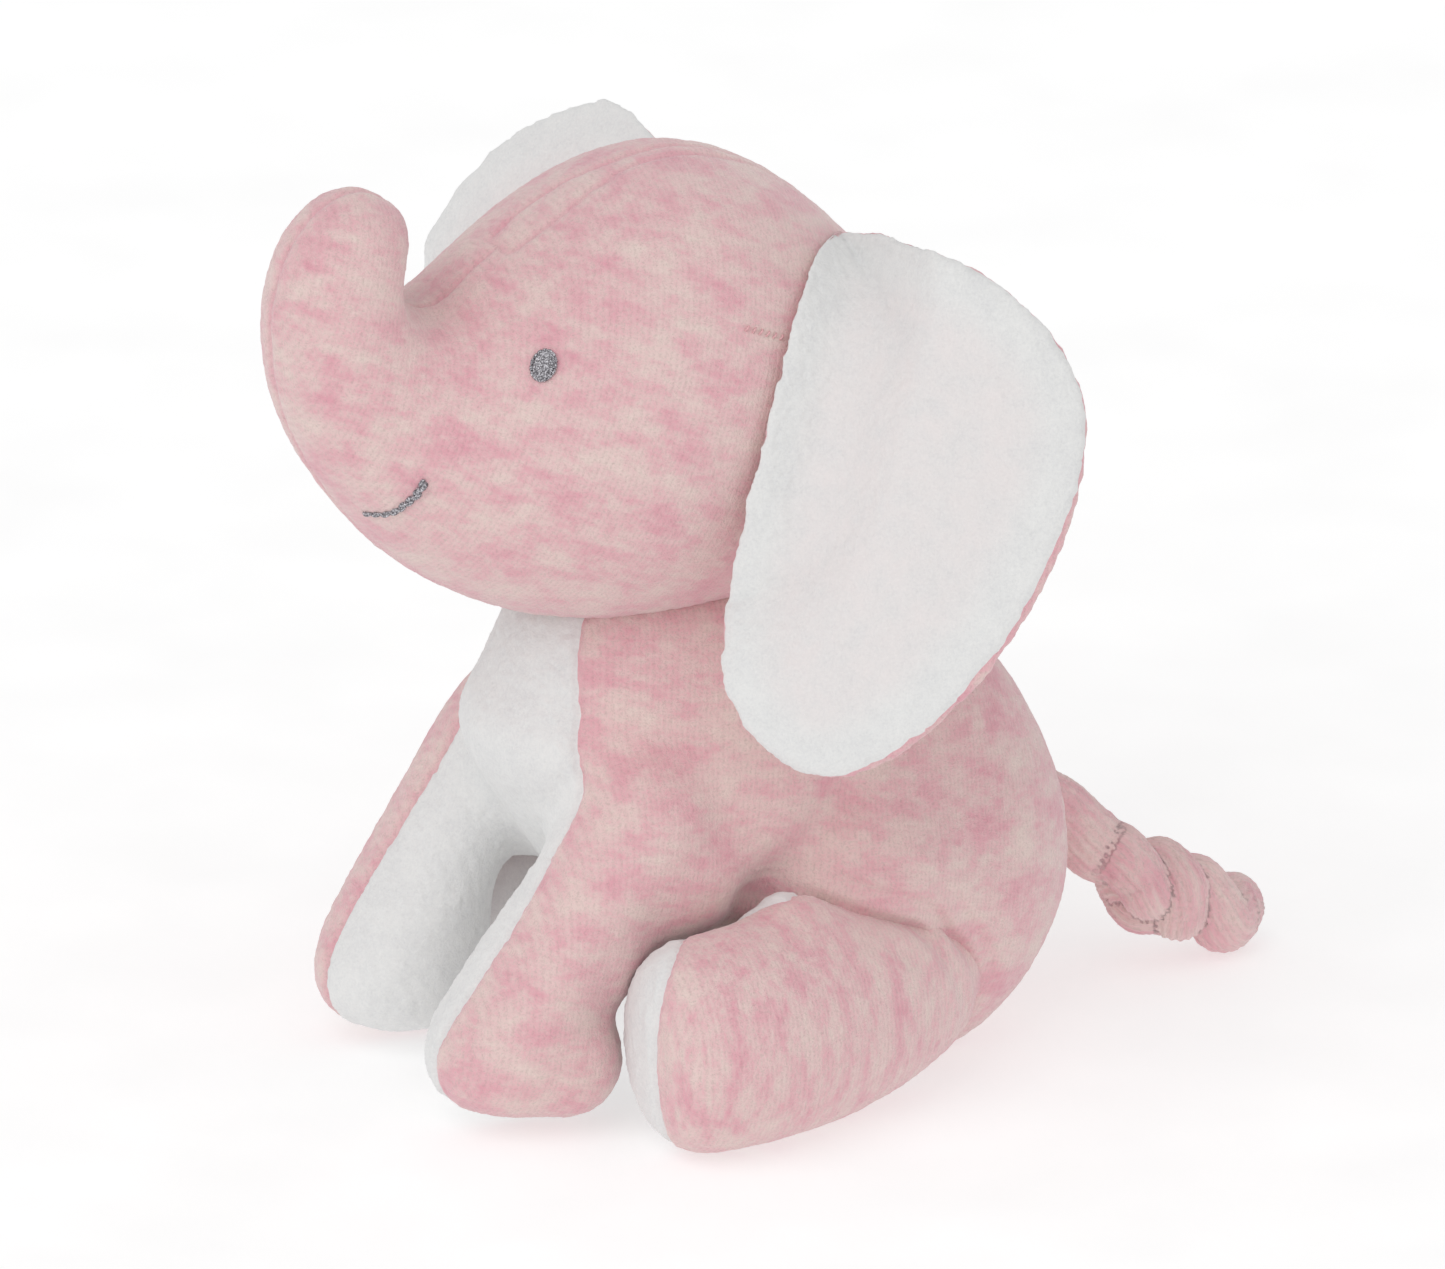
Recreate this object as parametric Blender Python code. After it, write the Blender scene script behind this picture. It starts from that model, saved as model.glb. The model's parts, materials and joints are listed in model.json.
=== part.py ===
"""A small plush elephant that sits on its seat with its hind legs stretched out in front of it.

Every sewn panel is its own slab of fabric, one wall thick, over its own stuffing. The elephant faces
-Y, its left side is +X, and the origin is the middle of the flat seat that it rests on.
"""

import math

import bmesh
import bpy
from mathutils import Matrix, Vector

MM = 0.001

WALL = 1.5 * MM  # velour with its knitted backing
GAP = 0.3 * MM  # clearance between pieces that touch
FILL_DEPTH = 2.6 * MM  # the stuffing starts this far under the outside of the cover
AROUND = 20  # corners round a stuffed shape
ROUND = 2 * math.pi

PINK = (0.80, 0.53, 0.58)
WHITE = (0.84, 0.84, 0.84)
FILL = (0.90, 0.90, 0.88)
SILVER_THREAD = (0.25, 0.25, 0.30)

# The head and the trunk in side view: (top y, top z, bottom y, bottom z, half width), back to tip.
HEAD_SLICES = (
    (19, 125, 19, 120, 2.5),
    (15, 137, 16, 107, 17),
    (5, 152, 6, 95, 30),
    (-10, 167, -12, 86.5, 39.5),
    (-30, 173.5, -32, 84.5, 42.5),
    (-48, 168, -52, 86, 40),
    (-63, 158.5, -68, 91, 33.5),
    (-74, 151.5, -84, 100, 25),
    (-79.5, 150, -97.5, 116, 19.5),
    (-80.5, 152.5, -106, 131, 17),
    (-81, 157, -109, 147, 15.5),
    (-80.5, 163.5, -106, 161.5, 13),
    (-82.5, 169.5, -100, 170, 9.5),
    (-89, 173, -93, 173, 2.5),
)
CROWN = math.pi / 2  # the angle of the top of a head slice
GUSSET_HALF_WIDTH = 10 * MM  # the strip between the two side panels of the head
GUSSET_SLICES = 7  # the strip runs out where the trunk starts
NOSE_TAPER = 3.0  # slices over which the strip narrows to a point

# The torso in level slices: (height, front y, back y, half width).
TORSO_SLICES = (
    (0, -23, 23, 27),
    (5, -29, 34, 35),
    (18, -33, 43, 41),
    (32, -42, 45.5, 43),
    (45, -55, 44, 42),
    (56, -66, 39.5, 40),
    (67, -69.5, 33, 36.5),
    (75, -65, 22, 30),
    (78.6, -56, 7, 21),
    (79.6, -36, -14, 7),
)
CHEST_SEAM = math.radians(34)  # half the angle that the white chest panel takes of the torso
TORSO_FRONT = -math.pi / 2

# A front leg in level slices: (height, inner x, outer x, front y, back y).
FRONT_LEG_SLICES = (
    (2.5, 20, 29, -76, -66),
    (4.3, 13.5, 35, -82, -60),
    (8, 8.5, 39.5, -87, -56),
    (15.5, 7, 41, -88, -55),
    (25, 8.5, 41, -82, -55),
    (36, 11, 41.5, -74, -52),
    (48, 12, 43, -66, -38),
    (58, 13.5, 41.5, -60, -32),
    (66, 19, 36, -55, -38),
    (69, 25, 30, -49, -44),
)
SHOULDER = Vector((28, -47, 54)) * MM
FRONT_LEG_SWING = 30  # degrees forwards

# A hind leg in upright slices: (y, middle x, half width, bottom z, top z), sole to hip.
HIND_LEG_SLICES = (
    (-56, 51.5, 3, 17, 24),
    (-55, 51.5, 13, 6, 34),
    (-50, 51.5, 17.5, 1, 39),
    (-40, 51.5, 19.5, 0, 41),
    (-26, 47.5, 19.5, 0, 39.5),
    (-10, 42.5, 18, 0, 38),
    (5, 36, 15, 3, 35),
    (14, 33.5, 9, 9, 28),
    (17, 33, 3, 15, 21),
)
HIP = Vector((37, -2, 20)) * MM
HIND_LEG_SPLAY = 25  # degrees outwards

LEG_CLEARANCE = 1.6 * MM  # the torso is hollowed this far from a leg
SWING_STEPS = 3  # positions of a leg that the torso is hollowed for

# An ear lies in its own plane: x runs down its sewn edge, y runs out to its free edge.
EAR_SEWN_EDGES = {
    "left": (Vector((41, -17, 167)) * MM, Vector((51, -41, 96)) * MM),
    "right": (Vector((-50, -7.5, 157)) * MM, Vector((-38.5, -7.5, 82.5)) * MM),
}
EAR_OUTLINE = (
    (0, 0),
    (-3, 14),
    (0, 33),
    (10, 49),
    (24, 56),
    (44, 56),
    (65, 50),
    (84, 39),
    (95, 24),
    (90, 8),
    (78, 0),
    (56, -2),
    (28, -1.5),
)
EAR_MIDDLE = (46, 26)
EAR_RIM = WALL + GAP / 2  # half the thickness of the edge
EAR_CROWN = 3.4 * MM  # how far each face swells above the edge
EAR_SWEEP = {"left": 51, "right": -19}  # degrees back from straight out to the side
EAR_CORNERS = 26
EAR_ROWS = 4
BATTING_REACH = 0.93  # how far the filling reaches towards the rim

EYE_PLACE = (6.15, math.radians(36))  # slice and angle on the head
EYE_HALF = Vector((2.5, 3.2, 0.5)) * MM
SMILE_PLACES = ((7.83, -63), (7.73, -49), (7.66, -37), (7.62, -26), (7.6, -16))  # slice, degrees
THREAD_RADIUS = 0.6 * MM
THREAD_LIFT = 1.2 * MM  # the embroidery's middle stands this far off the slices' surface

NECK = Vector((0, -25, 81.4)) * MM
NECK_SEAM_RADIUS = 13 * MM
NECK_SEAM_THREAD = 0.8 * MM

TAIL_ROOT = Vector((0, 51, 33)) * MM
# The knotted tail: (y, z, radius). It swells over the knot and again at its end.
TAIL_POINTS = (
    (48.2, 35, 2.5),
    (50, 33.6, 4.5),
    (54, 29, 5.6),
    (58, 25, 5.6),
    (62.5, 21, 5.8),
    (66, 18.3, 7.6),
    (70, 15.6, 8.6),
    (74.5, 12.2, 7),
    (78, 9.4, 5.6),
    (82, 7.4, 6.6),
    (86, 7, 6.2),
    (88.5, 6.8, 3.5),
)


def clear_scene():
    for thing in list(bpy.data.objects):
        bpy.data.objects.remove(thing, do_unlink=True)


def material(name, colour, roughness):
    made = bpy.data.materials.new(name)
    made.use_nodes = True
    shader = made.node_tree.nodes["Principled BSDF"]
    shader.inputs["Base Color"].default_value = (*colour, 1)
    shader.inputs["Roughness"].default_value = roughness
    shader.inputs["Metallic"].default_value = 0
    return made


def pivot(name, place, parent=None):
    """An empty on a joint's axis, which carries the pieces that turn with the joint."""
    empty = bpy.data.objects.new(name, None)
    empty.location = place - (world_place(parent) if parent else Vector())
    empty.parent = parent
    bpy.context.scene.collection.objects.link(empty)
    return empty


def world_place(thing):
    """The place of an object whose parents are only moved, never turned."""
    place = Vector()
    while thing:
        place += thing.location
        thing = thing.parent
    return place


def add_piece(name, shape, colour, parent=None, roughness=0.95):
    """Makes one named node from a bmesh drawn in world space, hung on its joint's empty."""
    bmesh.ops.recalc_face_normals(shape, faces=shape.faces)
    bmesh.ops.translate(shape, vec=-world_place(parent), verts=shape.verts)
    mesh = bpy.data.meshes.new(name)
    shape.to_mesh(mesh)
    shape.free()
    mesh.shade_smooth()
    mesh.materials.append(material(name, colour, roughness))
    piece = bpy.data.objects.new(name, mesh)
    piece.parent = parent
    bpy.context.scene.collection.objects.link(piece)
    return piece


class Form:
    """A stuffed shape: elliptical rings, each a middle with a sideways and an upward half axis."""

    def __init__(self, rings):
        self.rings = rings
        self.last = len(rings) - 1

    def ring(self, row):
        """The ring at a whole or fractional row."""
        low = min(int(row), self.last - 1)
        share = row - low
        return [a.lerp(b, share) for a, b in zip(self.rings[low], self.rings[low + 1])]

    def point(self, row, angle):
        middle, side, up = self.ring(row)
        return middle + side * math.cos(angle) + up * math.sin(angle)

    def normal(self, row, angle):
        before = self.point(max(row - 1, 0), angle)
        after = self.point(min(row + 1, self.last), angle)
        _, side, up = self.ring(row)
        along = up * math.cos(angle) - side * math.sin(angle)
        outward = along.cross(after - before).normalized()
        middle = self.ring(row)[0]
        return outward if outward.dot(self.point(row, angle) - middle) > 0 else -outward

    def below(self, row, angle, depth):
        """The point this far under the surface, or over it where depth is negative."""
        return self.point(row, angle) - self.normal(row, angle) * depth


def head_form():
    rings = []
    for top_y, top_z, bottom_y, bottom_z, half_width in HEAD_SLICES:
        top = Vector((0, top_y, top_z)) * MM
        bottom = Vector((0, bottom_y, bottom_z)) * MM
        rings.append(((top + bottom) / 2, Vector((half_width * MM, 0, 0)), (top - bottom) / 2))
    return Form(rings)


def torso_form():
    rings = []
    for height, front, back, half_width in TORSO_SLICES:
        middle = Vector((0, (front + back) / 2, height)) * MM
        rings.append((middle, Vector((half_width * MM, 0, 0)), Vector((0, (back - front) / 2 * MM, 0))))
    return Form(rings)


def front_leg_form(side):
    rings = []
    for height, inner, outer, front, back in FRONT_LEG_SLICES:
        middle = Vector((side * (inner + outer) / 2, (front + back) / 2, height)) * MM
        across = Vector((side * (outer - inner) / 2 * MM, 0, 0))
        rings.append((middle, across, Vector((0, (back - front) / 2 * MM, 0))))
    return Form(rings)


def hind_leg_form(side):
    rings = []
    for y, middle_x, half_width, bottom, top in HIND_LEG_SLICES:
        middle = Vector((side * middle_x, y, (bottom + top) / 2)) * MM
        across = Vector((side * half_width * MM, 0, 0))
        rings.append((middle, across, Vector((0, 0, (top - bottom) / 2 * MM))))
    return Form(rings)


def slab(outside, inside):
    """Closes two grids of points, one over the other, into a slab with four edge walls."""
    shape = bmesh.new()
    grids = [[[shape.verts.new(p) for p in line] for line in grid] for grid in (outside, inside)]
    rows = len(outside)
    columns = len(outside[0])
    for grid in grids:
        for i in range(rows - 1):
            for j in range(columns - 1):
                shape.faces.new((grid[i][j], grid[i + 1][j], grid[i + 1][j + 1], grid[i][j + 1]))
    rim = [(i, 0) for i in range(rows)]
    rim += [(rows - 1, j) for j in range(1, columns)]
    rim += [(i, columns - 1) for i in range(rows - 2, -1, -1)]
    rim += [(0, j) for j in range(columns - 2, 0, -1)]
    upper, lower = grids
    for (i, j), (k, m) in zip(rim, rim[1:] + rim[:1]):
        shape.faces.new((upper[i][j], upper[k][m], lower[k][m], lower[i][j]))
    return shape


def panel(form, rows, edges, columns):
    """A fabric panel on a form. edges(row) gives the angles of its two long sides."""
    outside = []
    inside = []
    for row in rows:
        start, stop = edges(row)
        angles = [start + (stop - start) * j / columns for j in range(columns + 1)]
        outside.append([form.point(row, angle) for angle in angles])
        inside.append([form.below(row, angle, WALL) for angle in angles])
    return slab(outside, inside)


def filled(form, depth, skip=0):
    """The solid inside a form, this far under its surface, without its first and last few rings."""
    shape = bmesh.new()
    loops = []
    for row in range(skip, form.last + 1 - skip):
        angles = [ROUND * j / AROUND for j in range(AROUND)]
        loops.append([shape.verts.new(form.below(row, angle, depth)) for angle in angles])
    for low, high in zip(loops, loops[1:]):
        for j in range(AROUND):
            k = (j + 1) % AROUND
            shape.faces.new((low[j], low[k], high[k], high[j]))
    shape.faces.new(loops[0])
    shape.faces.new(loops[-1])
    return shape


def seam_angle(form, row, width=GAP / 2):
    """The angle that a width takes on a form at this row."""
    _, side, up = form.ring(row)
    return width / min(side.length, up.length)


def two_halves(form, middle):
    """Edge functions for the two panels that meet along the angles middle and middle + half a turn."""

    def first(row):
        return (middle + seam_angle(form, row), middle + math.pi - seam_angle(form, row))

    def second(row):
        start, stop = first(row)
        return (start + math.pi, stop + math.pi)

    return first, second


def add_head(parent):
    form = head_form()

    def gusset_edge(row):
        share = min(1, max(0, (GUSSET_SLICES - row) / NOSE_TAPER))
        _, side, _ = form.ring(row)
        return math.asin(min(0.75, GUSSET_HALF_WIDTH * share / side.length))

    def left_edges(row):
        return (CROWN - math.pi + seam_angle(form, row), CROWN - gusset_edge(row) - seam_angle(form, row))

    def right_edges(row):
        return (CROWN + gusset_edge(row) + seam_angle(form, row), CROWN + math.pi - seam_angle(form, row))

    def strip_edges(row):
        width = max(gusset_edge(row) - seam_angle(form, row), seam_angle(form, row, GAP))
        return (CROWN - width, CROWN + width)

    rows = range(form.last + 1)
    add_piece("head_left_panel", panel(form, rows, left_edges, 9), PINK, parent)
    add_piece("head_right_panel", panel(form, rows, right_edges, 9), PINK, parent)
    add_piece("head_gusset", panel(form, range(GUSSET_SLICES), strip_edges, 3), PINK, parent)
    add_piece("head_stuffing", filled(form, FILL_DEPTH), FILL, parent)
    for side, name in ((1, "left"), (-1, "right")):
        add_eye(form, side, name, parent)
        add_smile(form, side, name, parent)


def mirrored(angle, side):
    """An angle on the left of the head, or its mirror image on the right."""
    return angle if side > 0 else math.pi - angle


def add_eye(form, side, name, parent):
    """A satin-stitched oval that lies on the side of the head."""
    row, angle = EYE_PLACE
    angle = mirrored(angle, side)
    outward = form.normal(row, angle)
    upward = (Vector((0, 0, 1)) - outward * outward.z).normalized()
    turn = Matrix((upward.cross(outward), upward, outward)).transposed().to_4x4()
    place = Matrix.Translation(form.point(row, angle) + outward * THREAD_LIFT)
    shape = bmesh.new()
    bmesh.ops.create_uvsphere(shape, u_segments=12, v_segments=6, radius=1)
    bmesh.ops.transform(shape, matrix=place @ turn @ Matrix.Diagonal((*EYE_HALF, 1)), verts=shape.verts)
    add_piece("eye_" + name, shape, SILVER_THREAD, parent, roughness=0.45)


def add_tube(name, points, radii, colour, parent, sides=2):
    """A bevelled curve through points in world space, with its own radius at each."""
    curve = bpy.data.curves.new(name, "CURVE")
    curve.dimensions = "3D"
    curve.bevel_depth = 1
    curve.bevel_resolution = sides
    curve.use_fill_caps = True
    spline = curve.splines.new("POLY")
    spline.points.add(len(points) - 1)
    for knot, point, radius in zip(spline.points, points, radii):
        knot.co = (*(point - world_place(parent)), 1)
        knot.radius = radius
    curve.materials.append(material(name, colour, 0.9))
    tube = bpy.data.objects.new(name, curve)
    tube.parent = parent
    bpy.context.scene.collection.objects.link(tube)


def add_smile(form, side, name, parent):
    """The line of stitches that curves up from under the trunk onto the cheek."""
    points = []
    for row, degrees in SMILE_PLACES:
        points.append(form.below(row, mirrored(math.radians(degrees), side), -THREAD_LIFT))
    add_tube("smile_" + name, points, [THREAD_RADIUS] * len(points), SILVER_THREAD, parent, 1)


def catmull_rom(a, b, c, d, share):
    """The smooth curve from b to c that also heads for a and d."""
    return 0.5 * (
        2 * b + (c - a) * share + (2 * a - 5 * b + 4 * c - d) * share**2 + (3 * b - 3 * c + d - a) * share**3
    )


def smooth_outline(corners, count):
    """A closed smooth outline through flat corners, as points evenly spread over them."""
    points = []
    for k in range(count):
        at = k * len(corners) / count
        first = int(at)
        four = [Vector(corners[(first + i) % len(corners)]) for i in (-1, 0, 1, 2)]
        points.append(catmull_rom(*four, at - first))
    return points


class Ear:
    """One ear's plane, hung from its sewn edge, and its outline in that plane."""

    def __init__(self, side, name):
        self.top, bottom = EAR_SEWN_EDGES[name]
        self.down = (bottom - self.top).normalized()
        sideways = Vector((side, 0, 0))
        sideways = (sideways - self.down * sideways.dot(self.down)).normalized()
        self.out = Matrix.Rotation(-side * math.radians(EAR_SWEEP[name]), 3, self.down) @ sideways
        self.front = self.down.cross(self.out) * side
        self.outline = smooth_outline(EAR_OUTLINE, EAR_CORNERS)

    def point(self, share, corner, height):
        """The point this share of the way from the middle to the rim, this high over the plane."""
        flat = Vector(EAR_MIDDLE).lerp(self.outline[corner % EAR_CORNERS], share) * MM
        return self.top + self.down * flat.x + self.out * flat.y + self.front * height


def ear_swell(share):
    """Half the ear's thickness at this share of the way to its rim."""
    return EAR_RIM + EAR_CROWN * (1 - share**2)


def lens(ear, reach, top, bottom):
    """A closed disc on an ear, between the heights top(share) and bottom(share)."""
    shape = bmesh.new()
    caps = []
    for height in (top, bottom):
        loops = []
        for i in range(1, EAR_ROWS + 1):
            share = reach * math.sin(math.pi / 2 * i / EAR_ROWS)
            loops.append([shape.verts.new(ear.point(share, j, height(share))) for j in range(EAR_CORNERS)])
        middle = shape.verts.new(ear.point(0, 0, height(0)))
        for j in range(EAR_CORNERS):
            k = (j + 1) % EAR_CORNERS
            shape.faces.new((middle, loops[0][j], loops[0][k]))
            for low, high in zip(loops, loops[1:]):
                shape.faces.new((low[j], high[j], high[k], low[k]))
        caps.append(loops[-1])
    for j in range(EAR_CORNERS):
        k = (j + 1) % EAR_CORNERS
        shape.faces.new((caps[0][j], caps[0][k], caps[1][k], caps[1][j]))
    return shape


def add_ear(side, name, parent):
    ear = Ear(side, name)
    root = pivot(f"ear_{name}_pivot", ear.top, parent)

    def face(share):
        return ear_swell(share)

    def backing(share):
        return ear_swell(share) - WALL

    def fill(share):
        return ear_swell(share) - WALL - GAP

    add_piece(f"ear_{name}_white_panel", lens(ear, 1, face, backing), WHITE, root)
    add_piece(f"ear_{name}_pink_panel", lens(ear, 1, lambda s: -backing(s), lambda s: -face(s)), PINK, root)
    add_piece(f"ear_{name}_batting", lens(ear, BATTING_REACH, fill, lambda s: -fill(s)), FILL, root)


def hollow(piece, cutters):
    for cutter in cutters:
        cut = piece.modifiers.new("clear of " + cutter.name, "BOOLEAN")
        cut.operation = "DIFFERENCE"
        cut.object = cutter


def leg_cutters(name, form, place, axis, degrees):
    """Hidden shapes that hold the room a leg needs as it turns, a few positions for each leg."""
    cutters = []
    for step in range(SWING_STEPS):
        angle = math.radians(degrees * step / (SWING_STEPS - 1))
        shape = filled(form, -LEG_CLEARANCE)
        turn = Matrix.Rotation(angle, 3, axis)
        bmesh.ops.rotate(shape, cent=place, matrix=turn, verts=shape.verts)
        cutter = add_piece(f"{name}_room_{step + 1}", shape, FILL)
        cutter.hide_render = True
        cutter.display_type = "WIRE"
        cutters.append(cutter)
    return cutters


def add_leg(name, form, parent):
    """A leg of two half panels, white inside and pink outside, round its stuffing."""
    inner, outer = two_halves(form, math.pi / 2)
    rows = range(form.last + 1)
    add_piece(name + "_outer_panel", panel(form, rows, outer, 10), PINK, parent)
    add_piece(name + "_inner_panel", panel(form, rows, inner, 10), WHITE, parent)
    add_piece(name + "_stuffing", filled(form, FILL_DEPTH), FILL, parent)


def add_legs():
    """Adds the four legs, and returns the shapes that hold the room they need."""
    cutters = []
    for side, name in ((1, "left"), (-1, "right")):
        front = front_leg_form(side)
        shoulder = Matrix.Diagonal((side, 1, 1)) @ SHOULDER
        add_leg("front_leg_" + name, front, pivot(f"shoulder_{name}_pivot", shoulder))
        cutters += leg_cutters("front_leg_" + name, front, shoulder, Vector((-1, 0, 0)), FRONT_LEG_SWING)
        hind = hind_leg_form(side)
        hip = Matrix.Diagonal((side, 1, 1)) @ HIP
        add_leg("hind_leg_" + name, hind, pivot(f"hip_{name}_pivot", hip))
        cutters += leg_cutters("hind_leg_" + name, hind, hip, Vector((0, 0, side)), HIND_LEG_SPLAY)
    return cutters


def seat_disc(form):
    """The flat panel that closes the torso's lowest ring."""
    shape = bmesh.new()
    middle, side, up = form.ring(0)
    reach = 1 - (WALL + 2 * GAP) / up.length
    loops = []
    for height in (0, WALL):
        corners = []
        for j in range(AROUND):
            angle = ROUND * j / AROUND
            flat = side * math.cos(angle) + up * math.sin(angle)
            corners.append(shape.verts.new(middle + flat * reach + Vector((0, 0, height))))
        loops.append(corners)
        shape.faces.new(corners)
    for j in range(AROUND):
        k = (j + 1) % AROUND
        shape.faces.new((loops[0][j], loops[0][k], loops[1][k], loops[1][j]))
    return shape


def add_torso(cutters):
    form = torso_form()
    back = -TORSO_FRONT

    def chest_edges(row):
        spread = CHEST_SEAM - seam_angle(form, row)
        return (TORSO_FRONT - spread, TORSO_FRONT + spread)

    def left_edges(row):
        return (TORSO_FRONT + CHEST_SEAM + seam_angle(form, row), back - seam_angle(form, row))

    def right_edges(row):
        start, stop = left_edges(row)
        return (math.pi - stop, math.pi - start)

    rows = range(form.last + 1)
    pieces = (
        add_piece("body_left_panel", panel(form, rows, left_edges, 9), PINK),
        add_piece("body_right_panel", panel(form, rows, right_edges, 9), PINK),
        add_piece("chest_panel", panel(form, rows, chest_edges, 5), WHITE),
        add_piece("seat_panel", seat_disc(form), WHITE),
        add_piece("body_stuffing", filled(lifted(form), FILL_DEPTH), FILL),
    )
    for piece in pieces:
        hollow(piece, cutters)


def lifted(form):
    """The torso with its lowest ring raised off the seat panel."""
    middle, side, up = form.ring(0)
    return Form([(middle + Vector((0, 0, WALL + GAP)), side, up)] + form.rings[1:])


def add_neck_seam(parent):
    """The ring of hand stitches that closes the neck between the body and the head."""
    shape = bmesh.new()
    turns = 20
    sides = 6
    rings = []
    for i in range(turns):
        angle = ROUND * i / turns
        outward = Vector((math.cos(angle), math.sin(angle), 0))
        ring = []
        for j in range(sides):
            slant = ROUND * j / sides
            lift = Vector((0, 0, math.sin(slant) * NECK_SEAM_THREAD))
            reach = NECK_SEAM_RADIUS + math.cos(slant) * NECK_SEAM_THREAD
            ring.append(shape.verts.new(NECK + outward * reach + lift))
        rings.append(ring)
    for i in range(turns):
        for j in range(sides):
            near, far = rings[i], rings[(i + 1) % turns]
            k = (j + 1) % sides
            shape.faces.new((near[j], far[j], far[k], near[k]))
    add_piece("neck_seam", shape, PINK, parent)


def add_tail():
    root = pivot("tail_pivot", TAIL_ROOT)
    points = [Vector((0, y, z)) * MM for y, z, _ in TAIL_POINTS]
    add_tube("tail", points, [radius * MM for _, _, radius in TAIL_POINTS], PINK, root)


def build():
    clear_scene()
    add_torso(add_legs())
    neck = pivot("neck_pivot", NECK)
    add_neck_seam(neck)
    head = pivot("head_pivot", NECK, neck)
    add_head(head)
    add_ear(1, "left", head)
    add_ear(-1, "right", head)
    add_tail()


build()
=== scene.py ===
"""The looks of the stuffed elephant: its sewn covers, ears, embroidery and knotted tail, round the CAD frame.

Lengths are in metres and +Z is up. The elephant sits facing -Y, and its own left side is +X.
Each cover starts as a coarse skin over CAD forms. It is cut along its seams, blown up by Blender's cloth
solver with the seams held, subdivided, given its grooves, folds and nap, and then parted into its pieces.
"""

import json
import math

import bmesh
import bpy
import numpy as np
from mathutils import Matrix, Quaternion, Vector
from mathutils.bvhtree import BVHTree
from mathutils.kdtree import KDTree


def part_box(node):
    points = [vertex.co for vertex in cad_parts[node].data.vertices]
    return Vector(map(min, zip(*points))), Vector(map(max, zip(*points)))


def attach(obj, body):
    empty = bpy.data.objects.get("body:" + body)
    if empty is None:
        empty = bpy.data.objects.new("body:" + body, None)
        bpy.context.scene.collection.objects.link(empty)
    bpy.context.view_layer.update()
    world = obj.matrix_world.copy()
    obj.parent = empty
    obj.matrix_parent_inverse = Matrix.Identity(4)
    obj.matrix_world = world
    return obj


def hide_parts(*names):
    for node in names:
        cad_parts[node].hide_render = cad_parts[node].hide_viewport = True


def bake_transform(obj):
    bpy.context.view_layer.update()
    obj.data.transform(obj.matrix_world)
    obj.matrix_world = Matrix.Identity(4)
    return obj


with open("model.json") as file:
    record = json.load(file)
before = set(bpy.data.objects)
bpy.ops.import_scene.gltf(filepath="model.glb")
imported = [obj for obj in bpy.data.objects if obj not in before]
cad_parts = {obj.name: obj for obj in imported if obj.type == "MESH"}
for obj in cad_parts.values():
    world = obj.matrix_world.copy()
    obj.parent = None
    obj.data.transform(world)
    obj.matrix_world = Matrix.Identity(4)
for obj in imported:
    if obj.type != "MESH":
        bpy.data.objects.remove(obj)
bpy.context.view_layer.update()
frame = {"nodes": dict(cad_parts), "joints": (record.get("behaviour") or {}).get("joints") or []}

MM = 0.001
SIDES = {"left": 1, "right": -1}
JOINTS = {joint["name"]: joint for joint in frame["joints"]}

VOXEL = 2.5 * MM  # the coarse skins' mesh
EAR_VOXEL = 1.8 * MM
NEAR_CUT = 0.3 * MM  # a point this near a cut counts as on it
SUBDIVISIONS = 2
SWELL = 1.0 * MM  # how far the cloth solver blows a skin up
FORM_TO_COVER = 2.6 * MM  # the stuffing in the frame lies this far under the cover's outside
PRESSURE = 4
SIMULATED_FRAMES = 20
LARGEST_MOVE = 2.2 * MM  # the cap on what the solver may move a point
FLOOR_LEVEL = 0.3 * MM  # the covers lie flat on this height
TOUCH_GAP = 0.7 * MM  # between a front leg and the hind foot that it leans on
PRESS_REACH = 8 * MM  # how deep a point may lie in a foot that presses it aside
FRONT_OF_FLANK = -42 * MM  # the front legs lie in front of this y

# The record's slots, listed with each look below.
PINK = "pink_velour"
WHITE = "white_minky"
SILVER = "silver_thread"
THREAD = "pink_thread"


# ---------------------------------------------------------------- points and noise


def points_of(mesh):
    points = np.zeros(len(mesh.vertices) * 3)
    mesh.vertices.foreach_get("co", points)
    return points.reshape(-1, 3)


def set_points(mesh, points):
    mesh.vertices.foreach_set("co", np.asarray(points, np.float32).ravel())
    mesh.update()


def normals_of(mesh):
    normals = np.zeros(len(mesh.vertices) * 3)
    mesh.vertex_normals.foreach_get("vector", normals)
    return normals.reshape(-1, 3)


def store_field(mesh, name, values):
    """Stores a number or a vector for each point, for the materials to read."""
    kind, key = ("FLOAT_VECTOR", "vector") if values.ndim == 2 else ("FLOAT", "value")
    mesh.attributes.new(name, kind, "POINT").data.foreach_set(key, values.astype(np.float32).ravel())


def tree_of(points):
    tree = KDTree(len(points))
    for index, point in enumerate(points):
        tree.insert(point, index)
    tree.balance()
    return tree


def smoothstep(low, high, values):
    share = np.clip((values - low) / (high - low), 0, 1)
    return share * share * (3 - 2 * share)


def bell(values, width):
    """1 at zero, falling off to nothing about two widths away."""
    return np.exp(-((values / width) ** 2))


def lattice(cells, seed):
    """A repeatable random number from -1 to 1 for each whole-numbered place, by the usual hashing primes."""
    value = cells @ np.array([73856093, 19349663, 83492791]) + seed * 374761393
    value = ((value ^ (value >> 13)) * 1274126177) & 0xFFFFFFFF
    value = ((value ^ (value >> 16)) * 2246822519) & 0xFFFFFFFF
    return value / 0x7FFFFFFF - 1


def noise(points, size, seed=0):
    """Smooth random values from about -1 to 1, whose bumps are this size. The size may differ by axis."""
    places = points / np.asarray(size)
    cells = np.floor(places).astype(np.int64)
    share = smoothstep(0, 1, places - cells)
    total = np.zeros(len(points))
    for step in np.ndindex(2, 2, 2):
        weight = np.prod(np.where(step, share, 1 - share), axis=1)
        total += weight * lattice(cells + np.array(step), seed)
    return total


# ---------------------------------------------------------------- forms and skins


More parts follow.
